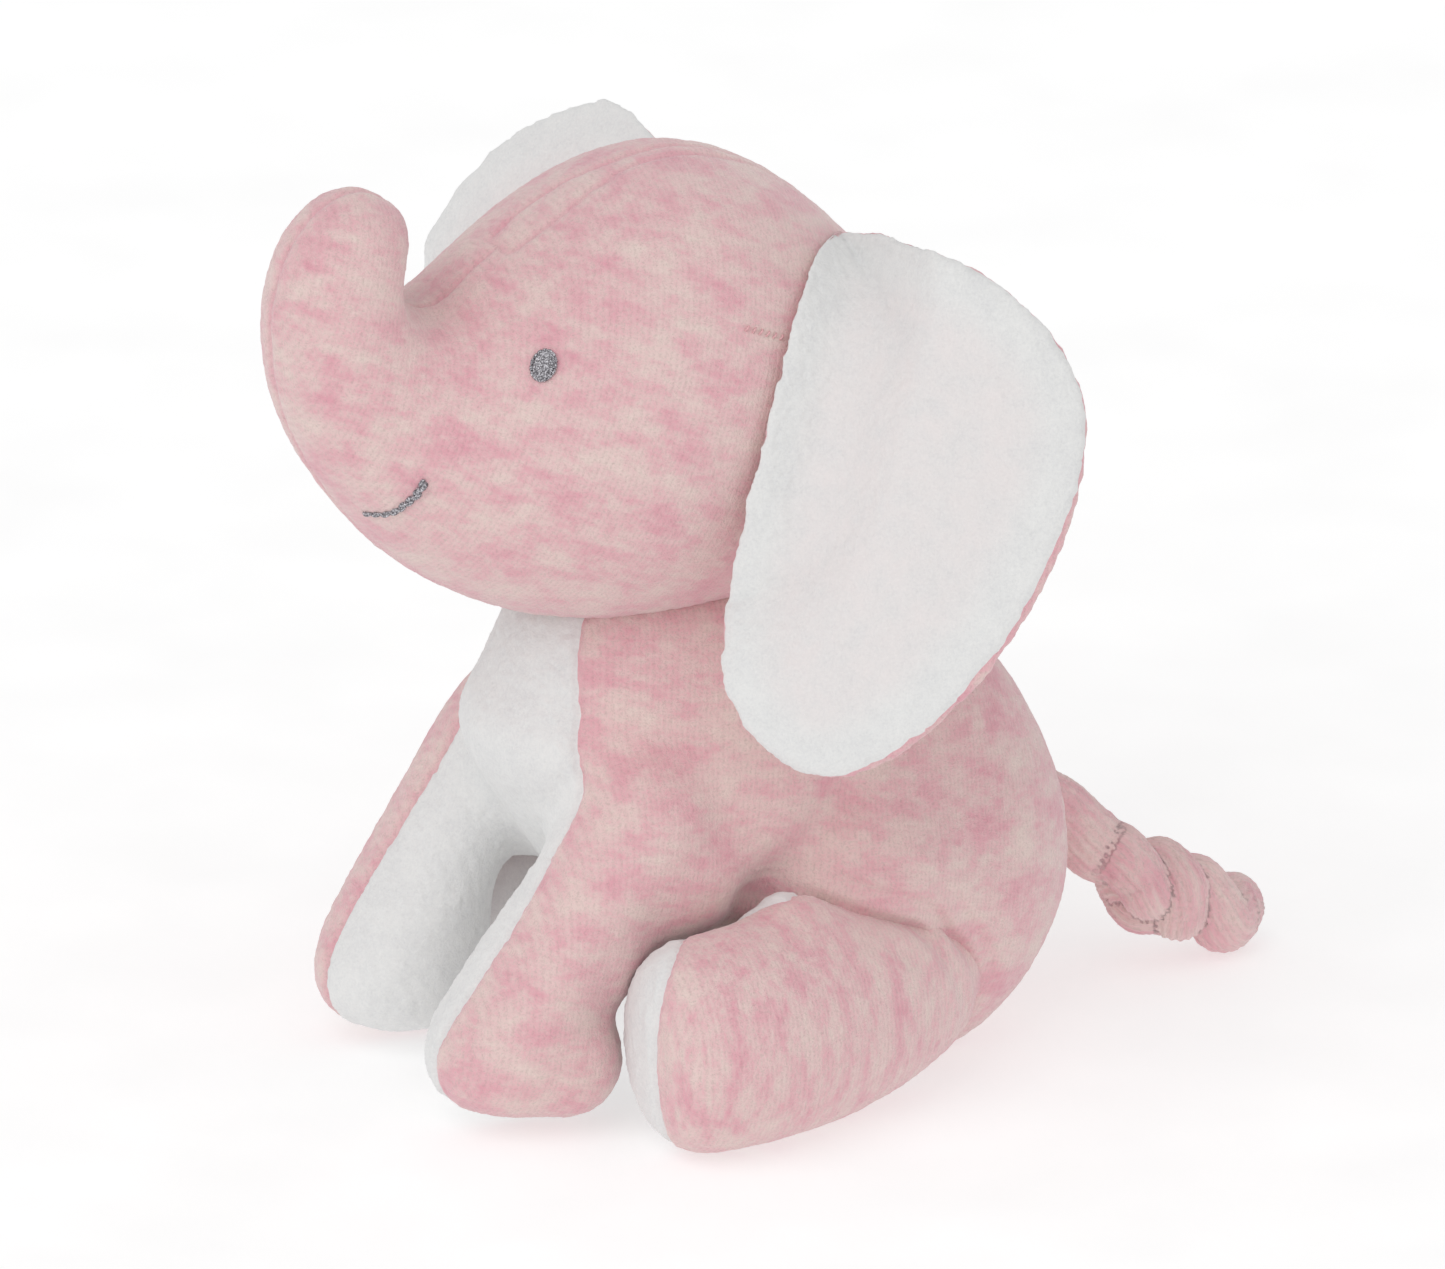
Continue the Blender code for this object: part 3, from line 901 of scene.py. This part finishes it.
SOLE_FULLNESS = 1.8 * MM
SOLE_REACH = (3 * MM, 14 * MM)  # how far from the sole that fullness fades
HIP_SLACK = 0.9 * MM  # how much less full a leg is towards the hip
SLACK_REACH = (30 * MM, 48 * MM)  # how far from the sole that slack comes in
SEAM_SHARES = (0, 0.05, 0.14, 0.32, 0.40, 0.48, 1)  # the leg's long seam: shares of the way to the hip
SEAM_OFFSETS = (3.5, 1.0, -8.5, -10, -6.5, -10.5, -20)  # and how far outwards it lies there, in mm
TUFT = Vector((42, -25, 39.5)) * MM  # where the white inner side bulges up beside the flank
TUFT_HEIGHT = 4.5 * MM
TUFT_WIDTH = 8 * MM
FOLD_CENTRE = (-20 * MM, 12 * MM)  # y and z of the point that the folds at the hip run round
FOLD_MIDDLE = 31 * MM  # how far from there they are deepest
FOLD_REACH = 7 * MM
FOLD_ANGLES = (0.75, 0.65)  # the middle and the reach of the arc that they cover, in radians
FOLD_SIDES = (28 * MM, 36 * MM)  # they start between these distances from the middle of the body
FOLD_PITCH = 5 * MM
FOLD_WANDER = 1.6 * MM
FOLD_DEPTH = 0.95 * MM
CREASE = ((-13 * MM, 57 * MM), (-28 * MM, 40 * MM))  # y and z of its ends, between the shoulder and the hip
CREASE_DEPTH = 3.2 * MM
CREASE_WIDTH = 4.5 * MM
HIP = (-3 * MM, 40 * MM)  # y and z of where the hip swells out over the leg
HIP_HEIGHT = 5.0 * MM
HIP_WIDTH = 12 * MM
FLANK = (25 * MM, 33 * MM)  # the flanks start between these distances from the middle


def hip_folds(points):
    """The curved folds where a hind leg bends out of the body."""
    along = points[:, 1] - FOLD_CENTRE[0]
    above = points[:, 2] - FOLD_CENTRE[1]
    reach = np.hypot(along, above)
    wander = FOLD_WANDER * noise(points, 11 * MM, 21)
    middle_angle, angle_reach = FOLD_ANGLES
    strength = bell(reach - FOLD_MIDDLE, FOLD_REACH)
    strength *= bell(np.arctan2(above, along) - middle_angle, angle_reach)
    strength *= smoothstep(*FOLD_SIDES, np.abs(points[:, 0])) * (0.7 + 0.3 * noise(points, 8 * MM, 22))
    return FOLD_DEPTH * strength * np.cos(math.tau * (reach + wander) / FOLD_PITCH)


def hip_swell(points):
    """The swell of both hips, less the creases in front of them."""
    side_view = points[:, 1:]
    swell = HIP_HEIGHT * bell(np.linalg.norm(side_view - HIP, axis=1), HIP_WIDTH)
    crease = CREASE_DEPTH * segment_bell(side_view, *CREASE, CREASE_WIDTH)
    return (swell - crease) * smoothstep(*FLANK, np.abs(points[:, 0]))


def make_hind_leg(name, side):
    """A closed sewn leg. Its hip end goes into the body's skin."""
    form = rounded(grow(welded(f"hind_leg_{name}_stuffing"), SWELL))
    low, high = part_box(f"hind_leg_{name}_inner_panel")
    sole, hip = low.y, high.y

    def fullness(point):
        fuller = SOLE_FULLNESS * (1 - smoothstep(*SOLE_REACH, point.y - sole))
        slacker = HIP_SLACK * smoothstep(*SLACK_REACH, point.y - sole)
        return FORM_TO_COVER - SWELL + fuller - slacker

    inner = f"hind_leg_{name}_inner"
    skin = Skin(skin_over(f"hind_leg_{name}_skin", [grow(form, fullness)], VOXEL, 4), inner)
    sole_middle = high.x if side > 0 else -low.x

    def outside(point):
        share = min(1.0, max(0.0, (point.y - sole) / (hip - sole)))
        return point.x * side - sole_middle - float(np.interp(share, SEAM_SHARES, SEAM_OFFSETS)) * MM

    skin.divide([inner], outside, f"hind_leg_{name}_outer")
    skin.store()
    return skin


# ---------------------------------------------------------------- head

GUSSET_PLACES = (-66 * MM, -55 * MM, -38 * MM)  # y along the forehead
GUSSET_HALVES = (3.5 * MM, 5.5 * MM, 2.5 * MM)
HEAD_GROOVE = 0.5 * MM
HEAD_PUCKER = 0.16 * MM


def make_head():
    form = rounded(grow(welded("head_stuffing"), SWELL))
    skin = Skin(skin_over("head_skin", [grow(form, FORM_TO_COVER - SWELL)], VOXEL, 4), "head_right")
    low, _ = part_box("head_gusset")

    def on_gusset(point):
        half = float(np.interp(point.y, GUSSET_PLACES, GUSSET_HALVES))
        return min(half - abs(point.x), point.z - low.z, point.y - low.y)

    skin.divide(["head_right"], lambda p: p.x, "head_left")
    skin.divide(["head_left", "head_right"], on_gusset, "head_gusset")
    skin.store()
    return skin


# ---------------------------------------------------------------- ears

EAR_PULL = {  # the way from each ear's sewn edge to where it is sewn on the head
    "left": Vector((-0.85, 0.40, -0.34)),
    "right": Vector((0.94, 0.0, -0.34)),
}
EAR_PULL_REACH = 24 * MM  # how far out from its hinge an ear bends towards the head
EAR_SEWN_LENGTH = (28 * MM, 80 * MM)  # the sewn part of the edge fades out between these, from the top down
LONGEST_PULL = 34 * MM
EAR_ROOT = {"left": 2.2 * MM, "right": 0.2 * MM}  # how far the sewn edge's middle lies off the head's cover
EAR_FULLNESS = 1.018  # makes up for what smoothing takes off the outline
EAR_SHIFT = {"left": Vector((-0.5, -1.1, -0.9)) * MM, "right": Vector((0, 0.5, -1.0)) * MM}
EAR_SEAM_HEIGHT = {"left": 1.3 * MM, "right": -1.6 * MM}  # of the free edge's seam, before the middle plane
EAR_EDGE = {"left": (15 * MM, 35 * MM), "right": (4 * MM, 14 * MM)}  # the seam rises between these reaches
EAR_LOWER_EDGE = {"left": (20 * MM, 45 * MM), "right": (-30 * MM, -20 * MM)}  # and these lengths from the top
EAR_TWIST = {"left": 0.0, "right": 7 * MM}  # how far the ear's top is turned back, and its middle forwards
TWIST_REACH = (-4 * MM, 26 * MM)
TWIST_LENGTH = (0, 27 * MM)
EAR_RIM_REACH = (5 * MM, 13 * MM)  # the ear's middle starts between these distances from its seam
EAR_HOLLOW = 0.7 * MM  # how far the middle is less full than the rim
EAR_RIM_SMOOTHING = 3 * MM  # how far from the seam the rim's steps are evened out
EAR_GROOVE = 0.35 * MM
EAR_PUCKER = 0.08 * MM
EAR_LINING = 0.55  # how much the pink lining shows through the white
EAR_BEND = 10 * MM  # the length of the bend listed with each ear; no piece bends by it


class EarFrame:
    """The plane of an ear: down its hinge, out from the head, and the normal of its white face."""

    def __init__(self, name):
        joint = JOINTS[f"ear_{name}_flop"]
        self.name = name
        self.top = Vector(joint["pos_m"])
        self.down = -Vector(joint["axis"]).normalized()
        points = points_of(frame["nodes"][f"ear_{name}_batting"].data)
        centre = Vector(points.mean(axis=0))
        out = centre - self.top
        self.out = (out - self.down * out.dot(self.down)).normalized()
        white = Vector(points_of(frame["nodes"][f"ear_{name}_white_panel"].data).mean(axis=0))
        normal = self.down.cross(self.out)
        self.front = normal if normal.dot(white - centre) > 0 else -normal

    def pulled_to(self, head_tree, points):
        """The points with the ear's sewn edge brought onto the head's cover, both faces by the same way."""
        away = points - np.array(self.top)
        reach = away @ np.array(self.out)
        length = away @ np.array(self.down)
        moved = points.copy()
        turn = np.interp(length, TWIST_LENGTH, (1, -1)) * smoothstep(*TWIST_REACH, reach)
        moved[:, 1] += EAR_TWIST[self.name] * turn
        middle = moved - np.outer(away @ np.array(self.front), self.front)
        weight = 1 - smoothstep(0, EAR_PULL_REACH, reach)
        weight *= 1 - smoothstep(*EAR_SEWN_LENGTH, length)
        way = EAR_PULL[self.name].normalized()
        for index in np.nonzero(weight)[0]:
            spot = Vector(middle[index])
            hit = head_tree.ray_cast(spot - way * LONGEST_PULL, way, 2.5 * LONGEST_PULL)[0]
            distance = LONGEST_PULL if hit is None else (hit - spot).dot(way) - EAR_ROOT[self.name]
            distance = min(max(distance, 0.0), LONGEST_PULL)
            moved[index] += np.array(way) * distance * weight[index]
        return moved


def make_ear(ear):
    form = hull([f"ear_{ear.name}_white_panel", f"ear_{ear.name}_pink_panel"])
    middle = sum((vert.co for vert in form.verts), Vector()) / len(form.verts)
    for vert in form.verts:
        vert.co = middle + (vert.co - middle) * EAR_FULLNESS + EAR_SHIFT[ear.name]
    pink = f"ear_{ear.name}_pink"
    skin = Skin(skin_over(f"ear_{ear.name}_skin", [rounded(form)], EAR_VOXEL, 10), pink)

    def in_front(point):
        away = point - ear.top
        at_edge = smoothstep(*EAR_EDGE[ear.name], away.dot(ear.out))
        at_edge *= smoothstep(*EAR_LOWER_EDGE[ear.name], away.dot(ear.down))
        return away.dot(ear.front) - EAR_SEAM_HEIGHT[ear.name] * at_edge

    skin.divide([pink], in_front, f"ear_{ear.name}_white")
    skin.store()
    return skin


# ---------------------------------------------------------------- embroidery and stitches

EYE_HALF = (2.2 * MM, 2.85 * MM)
EYE_TILT = math.radians(12)  # the eye's foot leans towards the trunk
EYE_DOME = 0.55 * MM
EYE_STRANDS = 22
EYE_STRAND = 0.19 * MM  # their thread's radius
EYE_RIM_STITCHES = 15
EYE_RIM_THREAD = 0.27 * MM
EYE_RIM_HUMP = 0.34 * MM
SMILE_STITCHES = 8
SMILE_TWIST = 4.2  # how far a stitch's two plies turn round each other, in radians
SMILE_DROP = 1.4 * MM
SMILE_THREAD = (0.45 * MM, 0.85 * MM)  # the thread is laid thicker towards the cheek
DART = (Vector((37.7, -31, 150)) * MM, Vector((38.5, -23, 147)) * MM)  # on the left side of the head
DART_DEPTH = 0.9 * MM
DART_WIDTH = 0.9 * MM
DART_STITCHES = 6
DART_THREAD = 0.2 * MM
DART_HUMP = 0.5 * MM
NOTCH = (Vector((-9, -79, 153)) * MM, Vector((9, -79, 153)) * MM)  # the fold behind the trunk
NOTCH_DEPTH = 3.0 * MM
NOTCH_WIDTH = 7 * MM
NECK_STITCHES = 24
NECK_STITCH_HALF = 0.9 * MM
NECK_THREAD = 0.35 * MM


class Cover:
    """The head's cover, for what is sewn on it."""

    def __init__(self, fine):
        self.tree = BVHTree.FromPolygons(fine.points.tolist(), fine.quads.tolist())

    def at(self, point):
        """The nearest place on the cover, and the way out of it there."""
        place, normal, _, _ = self.tree.find_nearest(Vector(point))
        return np.array(place), np.array(normal)

    def laid(self, points, lift):
        """Points laid on the cover, lifted off it by a distance each."""
        spots = [self.at(point) for point in points]
        return np.array([place + normal * height for (place, normal), height in zip(spots, lift)])


def middle_line(node, count):
    """Points down the middle of a thin CAD node, from its lower front end to its upper back end."""
    points = points_of(frame["nodes"][node].data)
    order = np.argsort(points @ np.array((0, 0.6, 1)))
    return [points[group].mean(axis=0) for group in np.array_split(order, count)]


def make_eye(name, side, cover):
    """Satin strands over a low dome, with a ring of small stitches round them."""
    low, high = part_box(f"eye_{name}")
    centre, normal = cover.at((Vector(low) + Vector(high)) / 2)
    level = np.cross((0, 0, 1), normal)
    level /= np.linalg.norm(level)
    upright = np.cross(normal, level)
    lean = side * math.sin(EYE_TILT)
    tall = upright * math.cos(EYE_TILT) + level * lean
    across = level * math.cos(EYE_TILT) - upright * lean

    def strand(us, vs, lift, radius):
        places = [centre + across * u * EYE_HALF[0] + tall * v * EYE_HALF[1] for u, v in zip(us, vs)]
        path = cover.laid(places, lift)
        return tube(path, round_ended(path, radius), 6)

    strands = []
    for v in (np.arange(EYE_STRANDS) + 0.5) / EYE_STRANDS * 2 - 1:
        us = np.linspace(-1, 1, 11) * math.sqrt(1 - v * v)
        lift = EYE_DOME * np.sqrt(np.maximum(1 - us**2 - v * v, 0))
        strands.append(strand(us, np.full(11, v), lift, EYE_STRAND))
    for k in range(EYE_RIM_STITCHES):
        angles = math.tau * (k + np.linspace(-0.08, 0.95, 7)) / EYE_RIM_STITCHES
        lift = EYE_RIM_HUMP * np.sin(np.linspace(0.15, 3.0, 7))
        strands.append(strand(np.cos(angles), np.sin(angles), lift, EYE_RIM_THREAD))
    return piece_of_tubes(f"eye_{name}_embroidery", strands)


def make_smile(name, cover):
    """A curved row of chain stitches, each of two plies twisted round each other."""
    line = curve_through(middle_line(f"smile_{name}", 8), 0.25 * MM) - (0, 0, SMILE_DROP)
    spots = np.linspace(0, len(line) - 1, SMILE_STITCHES + 1)
    strands = []
    for k, (start, end) in enumerate(zip(spots, spots[1:])):
        share = np.linspace(0, 1, 9)
        stretch = np.interp(start + (end - start + 0.8) * share, np.arange(len(line)), np.arange(len(line)))
        places = np.column_stack([np.interp(stretch, np.arange(len(line)), line[:, i]) for i in range(3)])
        thick = np.interp(k, (0, SMILE_STITCHES - 1), SMILE_THREAD)
        middle = cover.laid(places, -0.2 * MM + 0.6 * MM * np.sin(math.pi * share))
        across, over = steady_frames(middle)
        for turn in (0, math.pi):
            angles = (turn + SMILE_TWIST * share)[:, None]
            path = middle + (across * np.cos(angles) + over * np.sin(angles)) * 0.45 * thick
            strands.append(tube(path, round_ended(path, 0.62 * thick), 7))
    return piece_of_tubes(f"smile_{name}_embroidery", strands)


def stitch(cover, start, end, radius, hump):
    """One short straight stitch that dips into the cover at both ends."""
    share = np.linspace(0, 1, 7)
    places = [start * (1 - part) + end * part for part in share]
    path = cover.laid(places, hump * (np.sin(math.pi * share) * 1.6 - 0.6))
    return tube(path, round_ended(path, radius), 6)


def dart_ends(side):
    return [np.array(sided(end, side)) for end in DART]


def head_dents(points):
    """How far the head's cover is drawn in: by the darts beside the ears and behind the raised trunk."""
    depth = NOTCH_DEPTH * segment_bell(points, *NOTCH, NOTCH_WIDTH)
    for side in SIDES.values():
        depth += DART_DEPTH * segment_bell(points, *dart_ends(side), DART_WIDTH)
    return depth


def make_dart(name, side, cover):
    """The small slanted stitches that close the dart beside an ear."""
    start, end = dart_ends(side)
    step = (end - start) / DART_STITCHES
    slant = np.array((0, 0.25, 1.0)) * 0.75 * MM
    strands = []
    for k in range(DART_STITCHES):
        middle = start + step * (k + 0.5)
        ends = (middle - slant - 0.3 * step, middle + slant + 0.3 * step)
        strands.append(stitch(cover, *ends, DART_THREAD, DART_HUMP))
    return piece_of_tubes(f"dart_{name}_stitches", strands)


def make_neck_stitches():
    """The ring of ladder stitches that closes the neck."""
    low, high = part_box("neck_seam")
    middle = (np.array(low) + np.array(high)) / 2
    radius = (high[0] - low[0]) / 2 - 0.8 * MM
    strands = []
    for k in range(NECK_STITCHES):
        angles = math.tau * (k + np.linspace(0, 0.8, 6)) / NECK_STITCHES
        heights = np.linspace(-1, 1, 6) * NECK_STITCH_HALF * (-1) ** k
        path = middle + np.column_stack([radius * np.cos(angles), radius * np.sin(angles), heights])
        strands.append(tube(path, round_ended(path, NECK_THREAD), 6))
    return piece_of_tubes("neck_stitches", strands)


# ---------------------------------------------------------------- tail

TAIL_ROUTE = ((0, 42, 38.0), (0, 48.5, 33.3), (0, 53.5, 27.6), (0, 57.5, 23.6))  # in mm, down to the knot
TAIL_END = ((-3.2, 85, 7.2), (-3.8, 91, 6.6))
KNOT_CENTRE = Vector((-0.5, 69.3, 14.2)) * MM
KNOT_WAY = Vector((-0.04, 0.79, -0.61)).normalized()  # the tail's direction through the knot
KNOT_UNIT = 2.7 * MM
KNOT_DEPTH = 1.2  # how far the strands pass in front of and behind each other, in units
KNOT_DROP = 1.9  # from the ends' line to the middle of the loops, in units
KNOT_ROLL = math.radians(60)  # about the tail's direction
TAIL_RADII = ((0, 5.9), (0.16, 5.9), (0.26, 5.1), (0.84, 5.1), (0.93, 6.4), (1, 6.4))  # in mm, by its length
TAIL_UNEVENNESS = 0.4 * MM
TAIL_UNEVEN_LENGTH = 4.5 * MM
TAIL_AROUND = 32
TAIL_RIBS = 20
TAIL_RIB_DEPTH = 0.16 * MM
TAIL_GRAIN_RADIUS = 5 * MM  # of the tube that the tail's heather is laid out on
TAIL_VOXEL = 0.42 * MM
TAIL_BEND = (Vector((0, 45, 37)) * MM, Vector((0, 56, 27)) * MM)


def knot_points():
    """An overhand knot in the tail: half of it, and then the same half turned round."""
    h = KNOT_DEPTH
    first = [(-5, -0.9, 0), (-3, -0.6, 0.6 * h), (-1.41, -1, h), (0, -3, -h), (1.46, -4, 0)]
    first += [(2.1, -3, 0), (1.83, -1.93, 0), (1.415, -1, h)]
    second = [(-x, y, -z) for x, y, z in reversed(first)]
    turn = Quaternion(KNOT_WAY, KNOT_ROLL)
    aside = turn @ Vector((1, 0, 0))
    up = aside.cross(KNOT_WAY)
    places = []
    for x, y, z in first + [(0, 0, 0)] + second:
        places.append(KNOT_CENTRE + (KNOT_WAY * x + up * (y + KNOT_DROP) + aside * z) * KNOT_UNIT)
    return places


def make_tail():
    """A knitted tube, ribbed along its length, that is tied in one knot and closed in a round end."""
    before_knot, after_knot = ([Vector(point) * MM for point in route] for route in (TAIL_ROUTE, TAIL_END))
    points = before_knot + knot_points() + after_knot
    path = curve_through(points, 0.4 * MM)
    along = lengths_along(path)
    shares, sizes = zip(*TAIL_RADII)
    radii = np.interp(along / along[-1], shares, sizes) * MM
    line = np.column_stack([along, along * 0, along * 0])
    radii += TAIL_UNEVENNESS * noise(line, TAIL_UNEVEN_LENGTH, 9)
    tip = np.clip((along[-1] - along) / radii, 0, 1)
    radii *= np.sqrt(np.maximum(1 - (1 - tip) ** 2, 0.02))
    tube_points, faces = tube(path, radii, TAIL_AROUND)
    tail = remeshed(object_from("tail_tube", tube_points, faces), TAIL_VOXEL, 8)
    knit(tail.data, path, along, tube_points[: len(path) * TAIL_AROUND])
    tail.data.shade_smooth()
    return tail


def knit(mesh, path, along, tube_points):
    """Gives the tail its ribs and nap, and stores where each point lies on the tube before it was tied."""
    tree = tree_of(tube_points)
    points = points_of(mesh)
    ring = np.array([tree.find(point)[1] for point in points]) // TAIL_AROUND
    across, over = steady_frames(path)
    away = points - path[ring]
    angle = np.arctan2((away * over[ring]).sum(axis=1), (away * across[ring]).sum(axis=1))
    spread = TAIL_GRAIN_RADIUS
    store_field(mesh, "place", np.column_stack([np.cos(angle) * spread, np.sin(angle) * spread, along[ring]]))
    heights = TAIL_RIB_DEPTH * np.cos(TAIL_RIBS * angle) + VELOUR_NAP * nap_at(points)
    set_points(mesh, points + normals_of(mesh) * heights[:, None])


# ---------------------------------------------------------------- from skins to pieces


def lay_on_floor(fine):
    fine.points[:, 2] = np.maximum(fine.points[:, 2], FLOOR_LEVEL)


def sew_body(skin, hind_legs):
    """The pieces of the body and front legs, which the hind feet press aside in front."""
    body = Fine(skin)
    lay_on_floor(body)
    body.raise_by(hip_folds(body.points) + hip_swell(body.points))
    front = body.points[:, 1] < FRONT_OF_FLANK
    for leg in hind_legs.values():
        body.points = pressed_aside(body.points, leg.points, leg.quads.tolist(), front, TOUCH_GAP)
    body.smooth(0.5 * front, 2)
    sew_and_nap(body, [name for name in body.names if "inner" in name or name in ("chest", "seat")])
    return body.part()


def sew_hind_leg(leg, name, side):
    lay_on_floor(leg)
    tuft = np.linalg.norm(leg.points - np.array(sided(TUFT, side)), axis=1)
    leg.raise_by(hip_folds(leg.points) + TUFT_HEIGHT * bell(tuft, TUFT_WIDTH))
    sew_and_nap(leg, [f"hind_leg_{name}_inner"])
    return leg.part()


def sew_ear(skin, ear, head_cover):
    """An ear's two faces, thinner in the middle than at the rim, with the sewn edge brought to the head."""
    fine = Fine(skin)
    middle = smoothstep(*EAR_RIM_REACH, fine.seam)
    fine.smooth(0.5 * bell(fine.seam, EAR_RIM_SMOOTHING), 10)
    fine.raise_by(-EAR_HOLLOW * middle)
    fine.points = ear.pulled_to(head_cover.tree, fine.points)
    sew_and_nap(fine, [f"ear_{ear.name}_white"], EAR_GROOVE, EAR_PUCKER)
    fine.fields["lining"] = middle * EAR_LINING
    return fine.part()


ears = {name: EarFrame(name) for name in SIDES}
body_skin = make_body()
head_skin = make_head()
hind_skins = {name: make_hind_leg(name, side) for name, side in SIDES.items()}
ear_skins = {name: make_ear(ear) for name, ear in ears.items()}
skins = [body_skin, head_skin, *hind_skins.values(), *ear_skins.values()]
blow_up([skin.thing for skin in skins])

hind_legs = {name: Fine(skin) for name, skin in hind_skins.items()}
body_pieces = sew_body(body_skin, hind_legs)

head = Fine(head_skin)
head.raise_by(-head_dents(head.points))
head_cover = Cover(head)
sew_and_nap(head, [], HEAD_GROOVE, HEAD_PUCKER)
head_pieces = head.part()

for name, side in SIDES.items():
    pieces = {**body_pieces, **sew_hind_leg(hind_legs[name], name, side)}
    hind, front = f"hind_leg_{name}", f"front_leg_{name}"
    bend = ("body", front, LEG_TOP, LEG_TOP + LEG_DOWN * LEG_BEND)
    for leg, look, moves in ((hind, "leg", hind), (front, "body", bend)):
        finish_piece(pieces[f"{leg}_outer"], look, [f"{leg}_outer_panel", f"{leg}_stuffing"], moves)
        finish_piece(pieces[f"{leg}_inner"], "white", [f"{leg}_inner_panel"], moves)

    ear = f"ear_{name}"
    pieces = sew_ear(ear_skins[name], ears[name], head_cover)
    bend = ("head", ear, ears[name].top, ears[name].top + ears[name].out * EAR_BEND)
    finish_piece(pieces[f"{ear}_white"], "white", [f"{ear}_white_panel", f"{ear}_batting"], bend)
    finish_piece(pieces[f"{ear}_pink"], "body", [f"{ear}_pink_panel"], bend)

for name, look, nodes in (
    ("body_left", "body", ["body_left_panel"]),
    ("body_right", "body", ["body_right_panel"]),
    ("chest", "white", ["chest_panel", "body_stuffing"]),
    ("seat", "white", ["seat_panel"]),
):
    finish_piece(body_pieces[name], look, nodes, "body")

for name, nodes in (
    ("head_right", ["head_right_panel"]),
    ("head_left", ["head_left_panel", "head_stuffing"]),
    ("head_gusset", ["head_gusset"]),
):
    finish_piece(head_pieces[name], "head", nodes, "head")

for name, side in SIDES.items():
    finish_piece(make_eye(name, side, head_cover), "silver", [f"eye_{name}"], "head")
    finish_piece(make_smile(name, head_cover), "silver", [f"smile_{name}"], "head")
    finish_piece(make_dart(name, side, head_cover), "pink_thread", [], "head")

finish_piece(make_neck_stitches(), "pink_thread", ["neck_seam"], "neck")
finish_piece(make_tail(), "tail", ["tail"], ("body", "tail", *TAIL_BEND))

# ---------------------------------------------------------------- floor, light and camera

FLOOR_HALF = 6.0
FLOOR_COLOURS = ((0.3, grey(0.57)), (0.7, grey(0.59)))
FLOOR_GLOW = 0.86  # keeps the ground as pale as the photo's, under soft light


def floor_material():
    shader = Shader("pale_floor")
    grain = shader.noise(shader.object_points(), [40 * MM] * 3, 2.0, 0.5)
    pale = shader.ramp(grain, FLOOR_COLOURS)
    return shader.finished(
        Base_Color=pale,
        Emission_Color=pale,
        Emission_Strength=FLOOR_GLOW,
        Roughness=0.9,
        Specular_IOR_Level=0.1,
    )


def add_stage():
    corners = np.array([(-1, -1, 0), (1, -1, 0), (1, 1, 0), (-1, 1, 0)]) * FLOOR_HALF
    floor = object_from("floor", corners, [(0, 1, 2, 3)])
    floor.data.materials.append(floor_material())


def add_lamp(name, towards, strength, spread):
    """A broad, even lamp that shines from one direction."""
    data = bpy.data.lights.new(name, "SUN")
    data.energy = strength
    data.angle = math.radians(spread)
    lamp = new_object(name, data)
    lamp.rotation_euler = Vector(towards).to_track_quat("Z", "Y").to_euler()


VIEW_AZIMUTH = math.radians(65)
VIEW_ELEVATION = math.radians(20)
VIEW_MIDDLE = Vector((-1.5, -17.7, 76.4)) * MM
FRAME_WIDTH = 260 * MM  # what the frame takes in at that middle
LENS = 1000  # long, as the photo shows next to no perspective
SENSOR = 36
WORLD_STRENGTH = 0.66


def add_camera():
    back = Vector((
        math.sin(VIEW_AZIMUTH) * math.cos(VIEW_ELEVATION),
        -math.cos(VIEW_AZIMUTH) * math.cos(VIEW_ELEVATION),
        math.sin(VIEW_ELEVATION),
    ))
    data = bpy.data.cameras.new("camera")
    data.lens = LENS
    data.sensor_width = SENSOR
    camera = new_object("camera", data)
    camera.location = VIEW_MIDDLE + back * (FRAME_WIDTH * LENS / SENSOR)
    camera.rotation_euler = (-back).to_track_quat("-Z", "Y").to_euler()
    data.clip_end = 40
    bpy.context.scene.camera = camera


def add_world():
    world = bpy.data.worlds.new("studio")
    world.use_nodes = True
    background = world.node_tree.nodes["Background"]
    background.inputs["Color"].default_value = (1.0, 1.0, 1.0, 1)
    background.inputs["Strength"].default_value = WORLD_STRENGTH
    bpy.context.scene.world = world


add_stage()
add_world()
add_lamp("key", (0.35, -0.65, 0.75), 0.75, 50)
add_lamp("fill", (0.95, 0.25, 0.35), 0.25, 80)
add_camera()
bpy.context.scene.view_settings.view_transform = "Standard"
